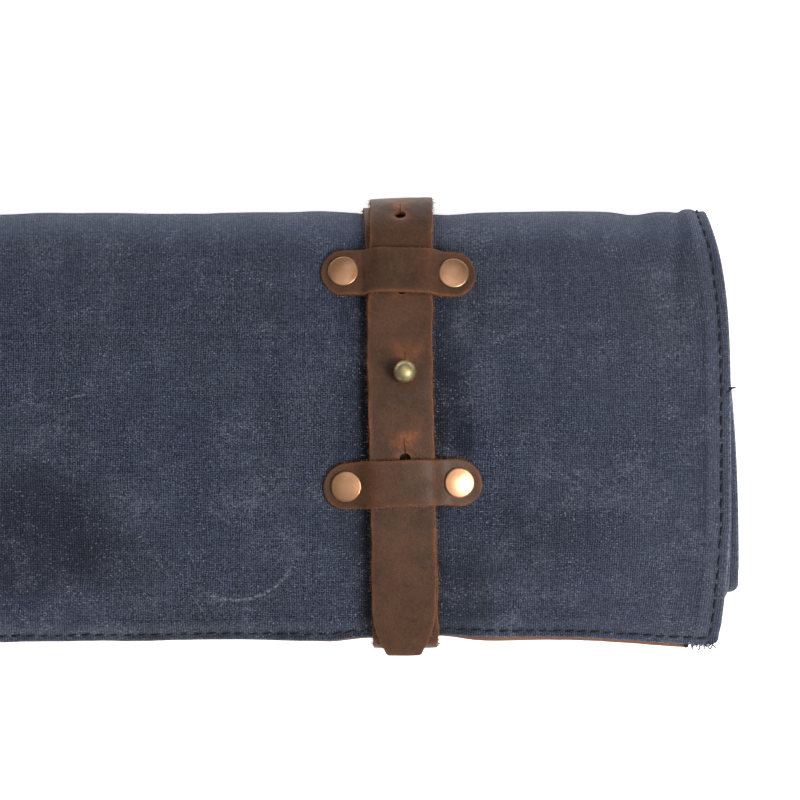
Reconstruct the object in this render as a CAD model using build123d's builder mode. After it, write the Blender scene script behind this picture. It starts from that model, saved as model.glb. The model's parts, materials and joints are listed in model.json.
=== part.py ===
from build123d import *
from math import asin, atan2, cos, degrees, hypot, radians, sin, tan
import os

# A rolled-up canvas tool roll, held shut by two leather straps.
# +X runs along the roll, +Y across it towards the top fold and +Z up from the surface it lies on.
# The origin is in the middle of the roll's footprint, on that surface.

# Driving dimensions, in millimetres and degrees.
roll_half_length = 182.0
roll_top_y = 66.0
flap_edge_y = -65.5
back_z = 2.2
flap_rise = 28.3
flap_corner = 68.0
flap_centre_y = -4.0
turn_gap = 6.5
body_bottom_y = -53.5
tuck_rise = 20.5
roll_height = 41.0
core_length = 60.0
second_turn_corners = (74.0, 67.0)
third_turn_corners = (82.0, 76.0)

cover_thick = 1.0
facing_thick = 1.5
lining_thick = 0.7
panel_thick = 0.7
ply_gap = 0.1
facing_lip = 0.7
facing_half_length = 166.6
facing_end_turn = 3.0
cover_tuck = 2.5
lining_tuck = 4.5
pocket_mouth_x = 8.0
tool_flap_mouth_x = -22.0

strap_x = 78.0
strap_width = 20.0
strap_thick = 1.8
lap_gap = 0.3
edge_bend_radius = 4.6
under_end_turn = 8.0
tip_flat = 10.5
tip_taper = 17.5
tip_waist_width = 16.8
tip_waist_rise = 7.0
tail_break_y = -27.3
tail_gap = 1.25
tip_to_stud = 88.9
hole_pitch = 26.6
hole_offset = 0.9
hole_radius = 1.85
slit_width = 0.5
slit_length = 5.0

keeper_length = 49.0
keeper_width = 14.4
keeper_thick = 1.8
upper_keeper_y = 46.4
lower_keeper_y = -17.8
keeper_leans = {"upper": -1.2, "lower": 1.9}
rivet_spacing = 35.0
rivet_cap_radius = 4.7
rivet_tube_radius = 1.8
rivet_post_radius = 1.25
rivet_seat_gap = 0.2
running_gap = 0.05
post_end_gap = 0.4

stud_ball_radius = 3.4
stud_neck_radius = 1.6
stud_flange_radius = 2.9
stud_flange_thick = 0.5
screw_head_thick = 0.6
screw_radius = 1.0
screw_length = 3.0
screw_slot_width = 0.8
screw_slot_depth = 0.3
stud_ball_lift = 5.4

keeper_foot_x = 12.0
keeper_shoulder_x = 11.1
keeper_bend_radius = 1.0
cap_rim_height = 0.45
cap_crown_height = 1.25
base_thick = 0.8
cut_clearance = 1.0
cap_dome_radius = (rivet_cap_radius ** 2 + (cap_crown_height - cap_rim_height) ** 2) / (
    2 * (cap_crown_height - cap_rim_height))

under_face = ply_gap + strap_thick
over_face = under_face + lap_gap + strap_thick
lining_top = cover_thick + ply_gap
panel_top = lining_top + lining_thick + ply_gap
facing_bottom = lining_top + facing_thick
tube_length = rivet_seat_gap + keeper_thick + running_gap + facing_bottom
post_length = tube_length - post_end_gap


class Route:
    """A path in the YZ plane of straight legs and right-hand arcs, followed from its start.

    A leg is (size, turn): a turn of 0 is a straight run of that size, any other turn is in
    degrees and the size is its radius. The arcs' radii are those of the outermost line.
    """

    def __init__(self, y, z, heading, legs):
        self.y = y
        self.z = z
        self.heading = heading
        self.legs = legs

    def inset(self, depth):
        """The same route, moved towards the inside of its turns."""
        right = radians(self.heading - 90)
        legs = [(size - depth if turn else size, turn) for size, turn in self.legs]
        return Route(self.y + depth * cos(right), self.z + depth * sin(right), self.heading, legs)

    def after(self, distance):
        """What is left of the route once a distance has been followed."""
        y, z, heading = self.y, self.z, self.heading
        legs = list(self.legs)
        while distance > 0 and legs:
            size, turn = legs.pop(0)
            length = size * radians(turn) if turn else size
            used = min(distance, length)
            distance -= used
            if turn:
                used_turn = degrees(used / size)
                y, z, heading = follow(y, z, heading, size, used_turn)
                if used < length:
                    legs.insert(0, (size, turn - used_turn))
            else:
                y, z, heading = follow(y, z, heading, used, 0)
                if used < length:
                    legs.insert(0, (size - used, 0))
        return Route(y, z, heading, legs)

    def until(self, distance):
        """The first stretch of the route only."""
        legs = []
        for size, turn in self.legs:
            length = size * radians(turn) if turn else size
            used = min(distance, length)
            distance -= used
            if used > 0:
                legs.append((size, degrees(used / size)) if turn else (used, 0))
        return Route(self.y, self.z, self.heading, legs)

    def end(self):
        """The point and heading where the route stops."""
        y, z, heading = self.y, self.z, self.heading
        for size, turn in self.legs:
            y, z, heading = follow(y, z, heading, size, turn)
        return y, z, heading

    def length(self):
        """The length of the outermost line."""
        return sum(size * radians(turn) if turn else size for size, turn in self.legs)

    def draw(self):
        """Add the route's lines and arcs to the line being built."""
        y, z, heading = self.y, self.z, self.heading
        for size, turn in self.legs:
            new_y, new_z, new_heading = follow(y, z, heading, size, turn)
            if turn:
                mid_y, mid_z, mid_heading = follow(y, z, heading, size, turn / 2)
                ThreePointArc((y, z), (mid_y, mid_z), (new_y, new_z))
            else:
                Line((y, z), (new_y, new_z))
            y, z, heading = new_y, new_z, new_heading


def follow(y, z, heading, size, turn):
    """The point and heading at the end of one leg."""
    if not turn:
        return y + size * cos(radians(heading)), z + size * sin(radians(heading)), heading
    right = radians(heading - 90)
    new_right = radians(heading - turn - 90)
    y += size * (cos(right) - cos(new_right))
    z += size * (sin(right) - sin(new_right))
    return y, z, heading - turn


def half_turn(width, rise, fall, first_turn, last_turn):
    """The three legs of a half turn that rises, crosses a width and falls.

    It turns through the first angle on a corner, arches across and turns through the last angle.
    """
    if first_turn == 90 and last_turn == 90:
        return [(rise, 90), (width - rise - fall, 0), (fall, 90)]
    across = 0.0
    room = width
    for height, turn in ((rise, first_turn), (fall, last_turn)):
        corner_pull = tan(radians(turn / 2))
        room -= corner_pull * height
        across += cos(radians(turn)) - corner_pull * (1 - sin(radians(turn)))
    arch = room / across
    first, last = [
        (height - arch * (1 - sin(radians(turn)))) / sin(radians(turn))
        for height, turn in ((rise, first_turn), (fall, last_turn))]
    return [(first, first_turn), (arch, 180 - first_turn - last_turn), (last, last_turn)]


def plane_on(route, distance, x):
    """A plane on the route's line, its normal pointing outwards and its y axis along it."""
    here = route.after(distance)
    outward = radians(here.heading + 90)
    return Plane(origin=(x, here.y, here.z), x_dir=(1, 0, 0), z_dir=(0, cos(outward), sin(outward)))


def distance_to(route, y):
    """How far along the route its line first reaches a y, to a hundredth of a millimetre."""
    low = 0.0
    high = route.length()
    while high - low > 0.01:
        middle = (low + high) / 2
        if route.after(middle).y < y:
            low = middle
        else:
            high = middle
    return high


def band(route, top, bottom, start_x, end_x):
    """Extrude a ply of the route, between two depths, along the roll."""
    outer = route.inset(top)
    inner = route.inset(bottom)
    with BuildSketch(Plane.YZ.offset(start_x)) as section:
        with BuildLine():
            outer.draw()
            inner.draw()
            Line((outer.y, outer.z), (inner.y, inner.z))
            Line(outer.end()[:2], inner.end()[:2])
        make_face()
    extrude(section.sketch, amount=end_x - start_x)


def trim_ends(edge, inset):
    """Keep what lies between two bowed ends, seen from above; edge is the right-hand one."""
    right = [(x - inset, y) for x, y in edge]
    left = [(-x, y) for x, y in right]
    with BuildSketch(Plane.XY.offset(-roll_height)) as view:
        with BuildLine():
            Spline(*right)
            Spline(*left)
            Line(right[0], left[0])
            Line(right[-1], left[-1])
        make_face()
    extrude(view.sketch, amount=3 * roll_height, mode=Mode.INTERSECT)


# The front flap is the top of a flattened oval; only the stretch above its free edge is canvas.
flap_width = 2 * (roll_top_y - flap_centre_y)
horizon_z = back_z + roll_height - flap_rise
flap_oval = Route(
    flap_centre_y - flap_width / 2, horizon_z, 90,
    half_turn(flap_width, flap_rise, flap_rise, flap_corner, flap_corner))
flap = flap_oval.after(distance_to(flap_oval, flap_edge_y))

# Inside it the canvas goes round three times, each half turn a gap nearer to the centre.
mid_z = back_z + roll_height / 2 - turn_gap / 2
tuck_z = back_z + tuck_rise
front_z = [back_z + roll_height - turn_gap * turn for turn in range(4)]
rear_z = [back_z + turn_gap * turn for turn in range(3)]
top_y = [roll_top_y - turn_gap * turn for turn in range(3)]
bottom_y = [body_bottom_y + turn_gap * turn for turn in range(3)]

inner_legs = half_turn(top_y[0] - bottom_y[0], horizon_z - rear_z[0], tuck_z - rear_z[0], 90, 90)
inner_legs += half_turn(top_y[1] - bottom_y[0], front_z[1] - tuck_z, front_z[1] - mid_z, *second_turn_corners)
inner_legs += half_turn(top_y[1] - bottom_y[1], mid_z - rear_z[1], mid_z - rear_z[1], 90, 90)
inner_legs += half_turn(top_y[2] - bottom_y[1], front_z[2] - mid_z, front_z[2] - mid_z, *third_turn_corners)
inner_legs += half_turn(top_y[2] - bottom_y[2], mid_z - rear_z[2], mid_z - rear_z[2], 90, 90)
inner_legs += [(front_z[3] - mid_z, 90), (core_length, 0)]
turns = Route(roll_top_y, horizon_z, -90, inner_legs)

first_half = Route(roll_top_y, horizon_z, -90, inner_legs[:3])
later_turns = Route(*first_half.end(), inner_legs[3:])
outer_turn_route = Route(flap.y, flap.z, flap.heading, flap.legs + inner_legs[:3])

# The ends of the roll bow inwards towards the top fold, and the inner plies stand a little proud.
flap_edge = [(174.4, -76.0), (175.4, -65.8), (179.4, -29.0), (178.9, 26.0), (176.2, 52.0), (171.0, 72.0)]
panel_edge = [
    (179.5, -62.0), (roll_half_length, -50.0), (181.4, -23.0), (179.0, 14.0), (174.5, 45.0), (169.0, 70.0)]

# Outer cover: waxed canvas, from the flap's free edge to the end at the middle of the roll.
with BuildPart() as outer_turn:
    band(outer_turn_route.after(facing_lip), 0, cover_thick, -roll_half_length, roll_half_length)
    trim_ends(flap_edge, 0)

with BuildPart() as inner_turns:
    band(later_turns, 0, cover_thick, -roll_half_length, roll_half_length)
    trim_ends(panel_edge, cover_tuck)

keeper_planes = {}
for side, sign in (("right", 1), ("left", -1)):
    for level, keeper_y in (("upper", upper_keeper_y), ("lower", lower_keeper_y)):
        plane = plane_on(flap, distance_to(flap, keeper_y), sign * strap_x)
        lean = radians(sign * keeper_leans[level])
        keeper_planes[side, level] = Plane(
            origin=plane.origin, x_dir=plane.x_dir * cos(lean) + plane.y_dir * sin(lean), z_dir=plane.z_dir)

rivet_spots = [(-rivet_spacing / 2, 0), (rivet_spacing / 2, 0)]


def rivet_holes(depth):
    """Pierce the ply being built behind every keeper rivet."""
    for plane in keeper_planes.values():
        with BuildSketch(plane.offset(cut_clearance)) as holes:
            with Locations(*rivet_spots):
                Circle(rivet_tube_radius + ply_gap)
        extrude(holes.sketch, amount=-(cut_clearance + depth), mode=Mode.SUBTRACT)


with BuildPart() as outer_cover:
    add(outer_turn.part)
    add(inner_turns.part)
    rivet_holes(cover_thick + ply_gap / 2)
outer_cover.part.label = "outer_cover"

# Leather facing: lines the flap and stands a little proud of its free edge.
facing_legs = flap.legs[:-1] + [(flap.legs[-1][0], flap_corner - facing_end_turn)]
facing_route = Route(flap.y, flap.z, flap.heading, facing_legs)
with BuildPart() as leather_facing:
    band(facing_route, lining_top, facing_bottom, -facing_half_length, facing_half_length)
    rivet_holes(facing_bottom + ply_gap)
leather_facing.part.label = "leather_facing"

# Lining: takes over from the facing at the top fold.
with BuildPart() as lining:
    band(turns, lining_top, lining_top + lining_thick, -roll_half_length, roll_half_length)
    trim_ends(panel_edge, lining_tuck)
lining.part.label = "lining"

# Pocket panel: folded along its bottom edge, which is the proud one at the right-hand end.
panel_route = Route(*follow(turns.y, turns.z, turns.heading, *inner_legs[0]), inner_legs[1:])
with BuildPart() as pocket_panel:
    band(panel_route, panel_top, panel_top + panel_thick, pocket_mouth_x, roll_half_length)
    trim_ends(panel_edge, 0)
pocket_panel.part.label = "pocket_panel"

# Tool flap: sewn to the left-hand end and folded over the tools' tips.
with BuildPart() as tool_flap:
    band(panel_route, panel_top, panel_top + panel_thick, -roll_half_length, tool_flap_mouth_x)
    trim_ends(panel_edge, 0)
tool_flap.part.label = "tool_flap"

# The strap's route, by its outer face, from the tail's tip round the roll to the stud end.
over_oval = flap_oval.inset(-over_face)
tip_y = -(roll_top_y + over_face)
over_lap = over_oval.after(distance_to(over_oval, tip_y))
fold_radius = horizon_z
under_lap = flap.inset(-under_face)
under_legs = under_lap.legs[:-1] + [(under_lap.legs[-1][0], flap_corner - under_end_turn)]

# Between the back and the flap's edge the strap runs straight, tangent to the bend at each end.
corner_radius = tuck_z
corner_y = body_bottom_y + tuck_z - back_z
corner_z = tuck_z
bend_right = radians(under_lap.heading - 90)
bend_y = under_lap.y + edge_bend_radius * cos(bend_right)
bend_z = under_lap.z + edge_bend_radius * sin(bend_right)
reach = hypot(bend_y - corner_y, bend_z - corner_z)
shrink = edge_bend_radius - corner_radius
rise_length = (reach ** 2 - shrink ** 2) ** 0.5
rise_heading = degrees(atan2(bend_z - corner_z, bend_y - corner_y) + asin(shrink / reach))

back_start_y = roll_top_y + over_face - fold_radius
wrap_legs = [
    (fold_radius, 90),
    (back_start_y - corner_y, 0),
    (corner_radius, 180 - rise_heading),
    (rise_length, 0),
    (edge_bend_radius, rise_heading - under_lap.heading)]
strap_route = Route(over_lap.y, over_lap.z, over_lap.heading, over_lap.legs + wrap_legs + under_legs)

# The tail hinges just below the lower keeper, about a line in the middle of the outer end's ply.
middle_lap = over_lap.inset(strap_thick / 2)
tail_axis = plane_on(middle_lap, distance_to(middle_lap, tail_break_y), 0)
tail_length = distance_to(over_lap, tail_axis.offset(strap_thick / 2).origin.Y)
print("tail hinge at", tail_axis.origin)

pieces = [outer_cover, leather_facing, lining, pocket_panel, tool_flap]

for side, sign in (("right", 1), ("left", -1)):
    side_x = sign * strap_x
    hole_x = sign * (strap_x + hole_offset)
    strap_left = side_x - strap_width / 2
    strap_right = side_x + strap_width / 2
    over_holes = [
        plane_on(over_lap, tip_to_stud + hole_pitch * place, hole_x) for place in (-1, 0, 1, 2)]
    stud_y = over_holes[1].offset(under_face - over_face).origin.Y
    stud_plane = plane_on(under_lap, distance_to(under_lap, stud_y), hole_x)

    # Strap: one belt, lapped on the front, with the stud in its under end.
    with BuildPart() as strap:
        band(strap_route.after(tail_length + tail_gap), 0, strap_thick, strap_left, strap_right)
        for plane in over_holes:
            with BuildSketch(plane.offset(cut_clearance)):
                Circle(hole_radius)
                with Locations((0, slit_length / 2)):
                    Rectangle(slit_width, slit_length)
            extrude(amount=-(cut_clearance + strap_thick + lap_gap / 2), mode=Mode.SUBTRACT)
        with BuildSketch(stud_plane.offset(lap_gap / 2)):
            Circle(stud_flange_radius + ply_gap)
        extrude(amount=-(lap_gap / 2 + stud_flange_thick), mode=Mode.SUBTRACT)
        with BuildSketch(stud_plane):
            Circle(screw_radius + ply_gap)
        extrude(amount=-strap_thick, mode=Mode.SUBTRACT)
        with BuildSketch(stud_plane.offset(-strap_thick - ply_gap / 2)):
            Circle(stud_flange_radius + ply_gap)
        extrude(amount=screw_head_thick + ply_gap / 2, mode=Mode.SUBTRACT)
    strap.part.label = side + "_strap"

    # Strap tail: the loose end, with a rounded root and a blunt tapered tip.
    with BuildPart() as strap_tail:
        band(over_lap.until(tail_length), 0, strap_thick, strap_left, strap_right)
        with BuildSketch(Plane.YZ.offset(strap_left)):
            with Locations((tail_axis.origin.Y, tail_axis.origin.Z)):
                Circle(strap_thick / 2)
        extrude(amount=strap_width)
        with BuildSketch(Plane.XY):
            with BuildLine():
                for edge in (-1, 1):
                    tip = (side_x + edge * tip_flat / 2, tip_y - cut_clearance)
                    waist = (side_x + edge * tip_waist_width / 2, tip_y + tip_waist_rise)
                    shoulder = (side_x + edge * strap_width / 2, tip_y + tip_taper)
                    ThreePointArc(tip, waist, shoulder)
                    Line(shoulder, (shoulder[0], 0))
                Line(tip, (2 * side_x - tip[0], tip[1]))
                Line((strap_left, 0), (strap_right, 0))
            make_face()
        extrude(amount=2 * roll_height, mode=Mode.INTERSECT)
    strap_tail.part.label = side + "_strap_tail"

    # Stud: a ball on a neck, its flange let into the under end of the strap.
    with BuildPart() as stud:
        with BuildSketch(stud_plane.offset(-stud_flange_thick + ply_gap / 2)):
            Circle(stud_flange_radius)
        extrude(amount=stud_flange_thick)
        with BuildSketch(stud_plane):
            Circle(stud_neck_radius)
        extrude(amount=stud_ball_lift)
        with Locations(stud_plane.offset(stud_ball_lift)):
            Sphere(stud_ball_radius)
        with BuildSketch(stud_plane.offset(-stud_flange_thick)):
            Circle(screw_radius + running_gap)
        extrude(amount=screw_length, mode=Mode.SUBTRACT)
    stud.part.label = side + "_stud"

    # Stud screw: comes up through the under end from behind.
    with BuildPart() as stud_screw:
        with BuildSketch(stud_plane.offset(-strap_thick)):
            Circle(stud_flange_radius)
        extrude(amount=screw_head_thick - ply_gap / 2)
        with BuildSketch(stud_plane.offset(-strap_thick)):
            Circle(screw_radius)
        extrude(amount=screw_length + strap_thick - stud_flange_thick - ply_gap)
        with BuildSketch(stud_plane.offset(-strap_thick)):
            Rectangle(2 * stud_flange_radius + cut_clearance, screw_slot_width)
        extrude(amount=screw_slot_depth, mode=Mode.SUBTRACT)
    stud_screw.part.label = side + "_stud_screw"
    pieces += [strap, strap_tail, stud, stud_screw]

    for level in ("upper", "lower"):
        plane = keeper_planes[side, level]

        # Keeper: lies on the canvas at both ends and steps up over the two ends of the strap.
        with BuildPart() as keeper:
            with BuildSketch(Plane(origin=plane.origin, x_dir=plane.x_dir, z_dir=-plane.y_dir)):
                with BuildLine():
                    low = rivet_seat_gap + keeper_thick / 2
                    high = over_face + ply_gap + keeper_thick / 2
                    half = keeper_length / 2
                    keeper_line = FilletPolyline(
                        (-half, low), (-keeper_foot_x, low), (-keeper_shoulder_x, high),
                        (keeper_shoulder_x, high), (keeper_foot_x, low), (half, low),
                        radius=keeper_bend_radius)
                trace(line_width=keeper_thick)
            extrude(amount=keeper_width, both=True)
            with BuildSketch(plane):
                SlotOverall(keeper_length, keeper_width)
            extrude(amount=3 * over_face, mode=Mode.INTERSECT)
            with BuildSketch(plane):
                with Locations(*rivet_spots):
                    Circle(rivet_tube_radius + ply_gap)
            extrude(amount=2 * keeper_thick, mode=Mode.SUBTRACT)
        keeper.part.label = side + "_" + level + "_keeper"
        pieces.append(keeper)

        # Rivets: a domed cap with a tube, pressed onto the post of a flat base cap.
        for place, spot_x in (("outer", sign * rivet_spacing / 2), ("inner", -sign * rivet_spacing / 2)):
            rivet_plane = plane.shift_origin(plane.origin + plane.x_dir * spot_x)
            seat = rivet_plane.offset(rivet_seat_gap + keeper_thick + running_gap)
            base_seat = rivet_plane.offset(-facing_bottom - rivet_seat_gap)
            with BuildPart() as rivet_cap:
                with BuildSketch(Plane(origin=seat.origin, x_dir=seat.x_dir, z_dir=-seat.y_dir)):
                    with BuildLine():
                        rim = (rivet_cap_radius, cap_rim_height)
                        crown = (0, cap_crown_height)
                        Polyline((0, 0), (rivet_cap_radius, 0), rim)
                        RadiusArc(rim, crown, -cap_dome_radius)
                        Line(crown, (0, 0))
                    make_face()
                revolve(axis=Axis(seat.origin, seat.z_dir))
                with BuildSketch(seat):
                    Circle(rivet_tube_radius)
                extrude(amount=-tube_length)
                with BuildSketch(seat.offset(-tube_length)):
                    Circle(rivet_post_radius + running_gap)
                extrude(amount=tube_length, mode=Mode.SUBTRACT)
            rivet_cap.part.label = "_".join((side, level, place, "rivet_cap"))
            with BuildPart() as rivet_base:
                with BuildSketch(base_seat):
                    Circle(rivet_cap_radius)
                extrude(amount=-base_thick)
                with BuildSketch(base_seat):
                    Circle(rivet_post_radius)
                extrude(amount=post_length)
            rivet_base.part.label = "_".join((side, level, place, "rivet_base"))
            pieces += [rivet_cap, rivet_base]

os.makedirs("parts", exist_ok=True)
for piece in pieces:
    export_step(piece.part, "parts/" + piece.part.label + ".step")

print("unrolled canvas", round(outer_turn_route.length() + later_turns.length() - facing_lip, 1))
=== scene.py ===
import json
import math

import bmesh
import bpy
import numpy as np
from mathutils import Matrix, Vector
from mathutils.kdtree import KDTree


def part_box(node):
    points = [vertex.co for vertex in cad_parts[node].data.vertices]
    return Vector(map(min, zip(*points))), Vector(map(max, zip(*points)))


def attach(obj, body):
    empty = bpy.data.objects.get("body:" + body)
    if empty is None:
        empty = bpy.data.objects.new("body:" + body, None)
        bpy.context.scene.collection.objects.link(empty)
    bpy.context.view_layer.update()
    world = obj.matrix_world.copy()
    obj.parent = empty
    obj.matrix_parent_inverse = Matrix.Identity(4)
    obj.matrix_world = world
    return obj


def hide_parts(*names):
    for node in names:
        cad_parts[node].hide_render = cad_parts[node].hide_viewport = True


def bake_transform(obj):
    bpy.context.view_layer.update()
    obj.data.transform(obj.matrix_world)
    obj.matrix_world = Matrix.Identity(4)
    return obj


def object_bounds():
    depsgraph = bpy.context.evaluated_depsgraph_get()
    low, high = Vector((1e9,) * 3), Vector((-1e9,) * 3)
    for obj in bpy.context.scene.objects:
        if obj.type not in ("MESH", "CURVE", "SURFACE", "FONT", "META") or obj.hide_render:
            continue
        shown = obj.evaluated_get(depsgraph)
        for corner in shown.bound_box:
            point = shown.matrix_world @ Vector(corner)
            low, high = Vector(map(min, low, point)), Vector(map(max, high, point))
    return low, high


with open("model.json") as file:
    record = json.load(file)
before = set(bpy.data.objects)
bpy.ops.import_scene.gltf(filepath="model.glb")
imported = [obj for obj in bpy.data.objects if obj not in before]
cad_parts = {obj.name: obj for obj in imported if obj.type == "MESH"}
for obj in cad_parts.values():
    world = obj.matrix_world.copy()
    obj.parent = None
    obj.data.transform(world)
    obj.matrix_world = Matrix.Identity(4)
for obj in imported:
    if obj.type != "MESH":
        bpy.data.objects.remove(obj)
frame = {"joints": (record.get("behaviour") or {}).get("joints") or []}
cad_low, cad_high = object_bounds()

# A rolled-up canvas tool roll held shut by two leather straps.
# +X runs along the roll, +Y towards its top fold and +Z up. Lengths below are in millimetres.
MM = 0.001
ROOT = "roll"


# -------- the roll's dimensions
def box_mm(node):
    """A CAD node's lowest and highest corners, in millimetres."""
    low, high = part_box(node)
    return low / MM, high / MM


cover_low, cover_high = box_mm("outer_cover")
panel_high_x = box_mm("pocket_panel")[1].x
pocket_mouth_x = box_mm("pocket_panel")[0].x
tool_flap_mouth_x = box_mm("tool_flap")[1].x
facing_half_length = box_mm("leather_facing")[1].x
strap_low, strap_high = box_mm("right_strap")
STRAP_X = (strap_low.x + strap_high.x) / 2
STRAP_WIDTH = strap_high.x - strap_low.x
STUD_X = (box_mm("right_stud")[0].x + box_mm("right_stud")[1].x) / 2
TAIL_HINGE = {j["child"]: Vector(j["pos_m"]) / MM for j in frame["joints"]}

TOP_Y = cover_high.y
BACK_Z = cover_low.z
ROLL_HEIGHT = cover_high.z - cover_low.z
FLAP_EDGE_Y = -65.5        # the flap's free edge
FLAP_RISE = 28.3           # its crown over the top fold's horizon
FLAP_CORNER = 68.0         # degrees of the tighter bend at each side of its arch
FLAP_CENTRE_Y = -4.0
TURN_GAP = 6.5             # from one turn of the roll to the next
BODY_BOTTOM_Y = -53.5
TUCK_RISE = 20.5           # the bottom fold's horizon over the table
CORE_LENGTH = 60.0         # the innermost straight ply

COVER_THICK = 1.0
FACING_THICK = 1.5
LINING_THICK = 0.7
PANEL_THICK = 0.7
PLY_GAP = 0.1
STRAP_THICK = 1.8
LAP_GAP = 0.3
EDGE_BEND_RADIUS = 4.6
RIVET_SPACING = 35.0

UNDER_FACE = PLY_GAP + STRAP_THICK
OVER_FACE = UNDER_FACE + LAP_GAP + STRAP_THICK
HORIZON_Z = BACK_Z + ROLL_HEIGHT - FLAP_RISE


# -------- paths
SEARCH_STEP = 0.01


class Path:
    """Straight legs and right-hand arcs in the YZ plane, read by distance from the start."""

    def __init__(self, y, z, heading, legs):
        self.y, self.z, self.heading, self.legs = y, z, heading, legs
        sizes = [size * math.radians(turn) if turn else size for size, turn in legs]
        self.marks = np.concatenate([[0.0], np.cumsum(sizes)])
        self.length = self.marks[-1]
        self.starts = [(y, z, heading)]
        for size, turn in legs:
            self.starts.append(self.follow(*self.starts[-1], size, turn))

    @staticmethod
    def follow(y, z, heading, size, turn):
        """The point and heading at the end of one leg."""
        if not turn:
            along = math.radians(heading)
            return y + size * math.cos(along), z + size * math.sin(along), heading
        right, new_right = math.radians(heading - 90), math.radians(heading - turn - 90)
        return (
            y + size * (math.cos(right) - math.cos(new_right)),
            z + size * (math.sin(right) - math.sin(new_right)),
            heading - turn)

    def inset(self, depth):
        """The same path moved towards the inside of its turns."""
        right = math.radians(self.heading - 90)
        legs = [(size - depth if turn else size, turn) for size, turn in self.legs]
        return Path(self.y + depth * math.cos(right), self.z + depth * math.sin(right), self.heading, legs)

    def after(self, distance):
        """What is left of the path once a distance has been followed."""
        y, z, heading = [float(value[0]) for value in self.at(np.array([distance]))]
        legs = []
        for index, (size, turn) in enumerate(self.legs):
            left = self.marks[index + 1] - max(distance, self.marks[index])
            if left > 1e-6:
                legs.append((size, math.degrees(left / size)) if turn else (left, 0))
        return Path(y, z, heading, legs)

    def at(self, distance):
        """The y, z and heading (degrees) at each distance, carried on straight past both ends."""
        distance = np.asarray(distance, float)
        inside = np.clip(distance, 0, self.length)
        leg = np.clip(np.searchsorted(self.marks, inside, side="right") - 1, 0, len(self.legs) - 1)
        start = np.array(self.starts)[leg]
        used = inside - self.marks[leg]
        size = np.array([leg_size for leg_size, turn in self.legs])[leg]
        bent = np.array([turn != 0 for leg_size, turn in self.legs])[leg]
        turned = np.where(bent, used / size, 0.0)
        heading = np.radians(start[..., 2])
        right, new_right = heading - math.pi / 2, heading - turned - math.pi / 2
        y = start[..., 0] + np.where(
            bent, size * (np.cos(right) - np.cos(new_right)), used * np.cos(heading))
        z = start[..., 1] + np.where(
            bent, size * (np.sin(right) - np.sin(new_right)), used * np.sin(heading))
        heading = heading - turned
        beyond = distance - inside
        return y + beyond * np.cos(heading), z + beyond * np.sin(heading), np.degrees(heading)

    def distance_to(self, y):
        """How far along the path it first reaches a y, on a stretch where y grows."""
        low, high = 0.0, self.length
        while high - low > SEARCH_STEP:
            middle = (low + high) / 2
            if self.at(middle)[0] < y:
                low = middle
            else:
                high = middle
        return high


def half_turn(width, rise, fall, first_turn, last_turn):
    """The three legs of a half turn that rises, crosses a width and falls."""
    if first_turn == 90 and last_turn == 90:
        return [(rise, 90), (width - rise - fall, 0), (fall, 90)]
    across, room = 0.0, width
    for height, turn in ((rise, first_turn), (fall, last_turn)):
        corner_pull = math.tan(math.radians(turn / 2))
        room -= corner_pull * height
        across += math.cos(math.radians(turn)) - corner_pull * (1 - math.sin(math.radians(turn)))
    arch = room / across
    first, last = [
        (height - arch * (1 - math.sin(math.radians(turn)))) / math.sin(math.radians(turn))
        for height, turn in ((rise, first_turn), (fall, last_turn))]
    return [(first, first_turn), (arch, 180 - first_turn - last_turn), (last, last_turn)]


flap_width = 2 * (TOP_Y - FLAP_CENTRE_Y)
flap_oval = Path(
    FLAP_CENTRE_Y - flap_width / 2, HORIZON_Z, 90,
    half_turn(flap_width, FLAP_RISE, FLAP_RISE, FLAP_CORNER, FLAP_CORNER))
flap = flap_oval.after(flap_oval.distance_to(FLAP_EDGE_Y))

mid_z = BACK_Z + ROLL_HEIGHT / 2 - TURN_GAP / 2
tuck_z = BACK_Z + TUCK_RISE
front_z = [BACK_Z + ROLL_HEIGHT - TURN_GAP * turn for turn in range(4)]
rear_z = [BACK_Z + TURN_GAP * turn for turn in range(3)]
top_y = [TOP_Y - TURN_GAP * turn for turn in range(3)]
bottom_y = [BODY_BOTTOM_Y + TURN_GAP * turn for turn in range(3)]
inner_legs = (
    half_turn(top_y[0] - bottom_y[0], HORIZON_Z - rear_z[0], tuck_z - rear_z[0], 90, 90)
    + half_turn(top_y[1] - bottom_y[0], front_z[1] - tuck_z, front_z[1] - mid_z, 74, 67)
    + half_turn(top_y[1] - bottom_y[1], mid_z - rear_z[1], mid_z - rear_z[1], 90, 90)
    + half_turn(top_y[2] - bottom_y[1], front_z[2] - mid_z, front_z[2] - mid_z, 82, 76)
    + half_turn(top_y[2] - bottom_y[2], mid_z - rear_z[2], mid_z - rear_z[2], 90, 90)
    + [(front_z[3] - mid_z, 90), (CORE_LENGTH, 0)])
roll_path = Path(flap.y, flap.z, flap.heading, flap.legs + inner_legs)
FOLD_AT = flap.length                      # the top fold's horizon, along the canvas
BOTTOM_AT = FOLD_AT + Path(0, 0, 0, inner_legs[:3]).length
ROLL_LENGTH = roll_path.length


# -------- small mathematics
GLIDE_STEPS = 400
GLIDE_BLUR = 20            # steps each way over which a line's corners are rounded


def smooth_step(value, low, high):
    """0 below low, 1 above high and an easy ramp between."""
    t = np.clip((value - low) / (high - low), 0, 1)
    return t * t * (3 - 2 * t)


def bump(value, centre, width):
    """A soft hump of height 1."""
    return np.exp(-((value - centre) / width) ** 2)


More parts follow.
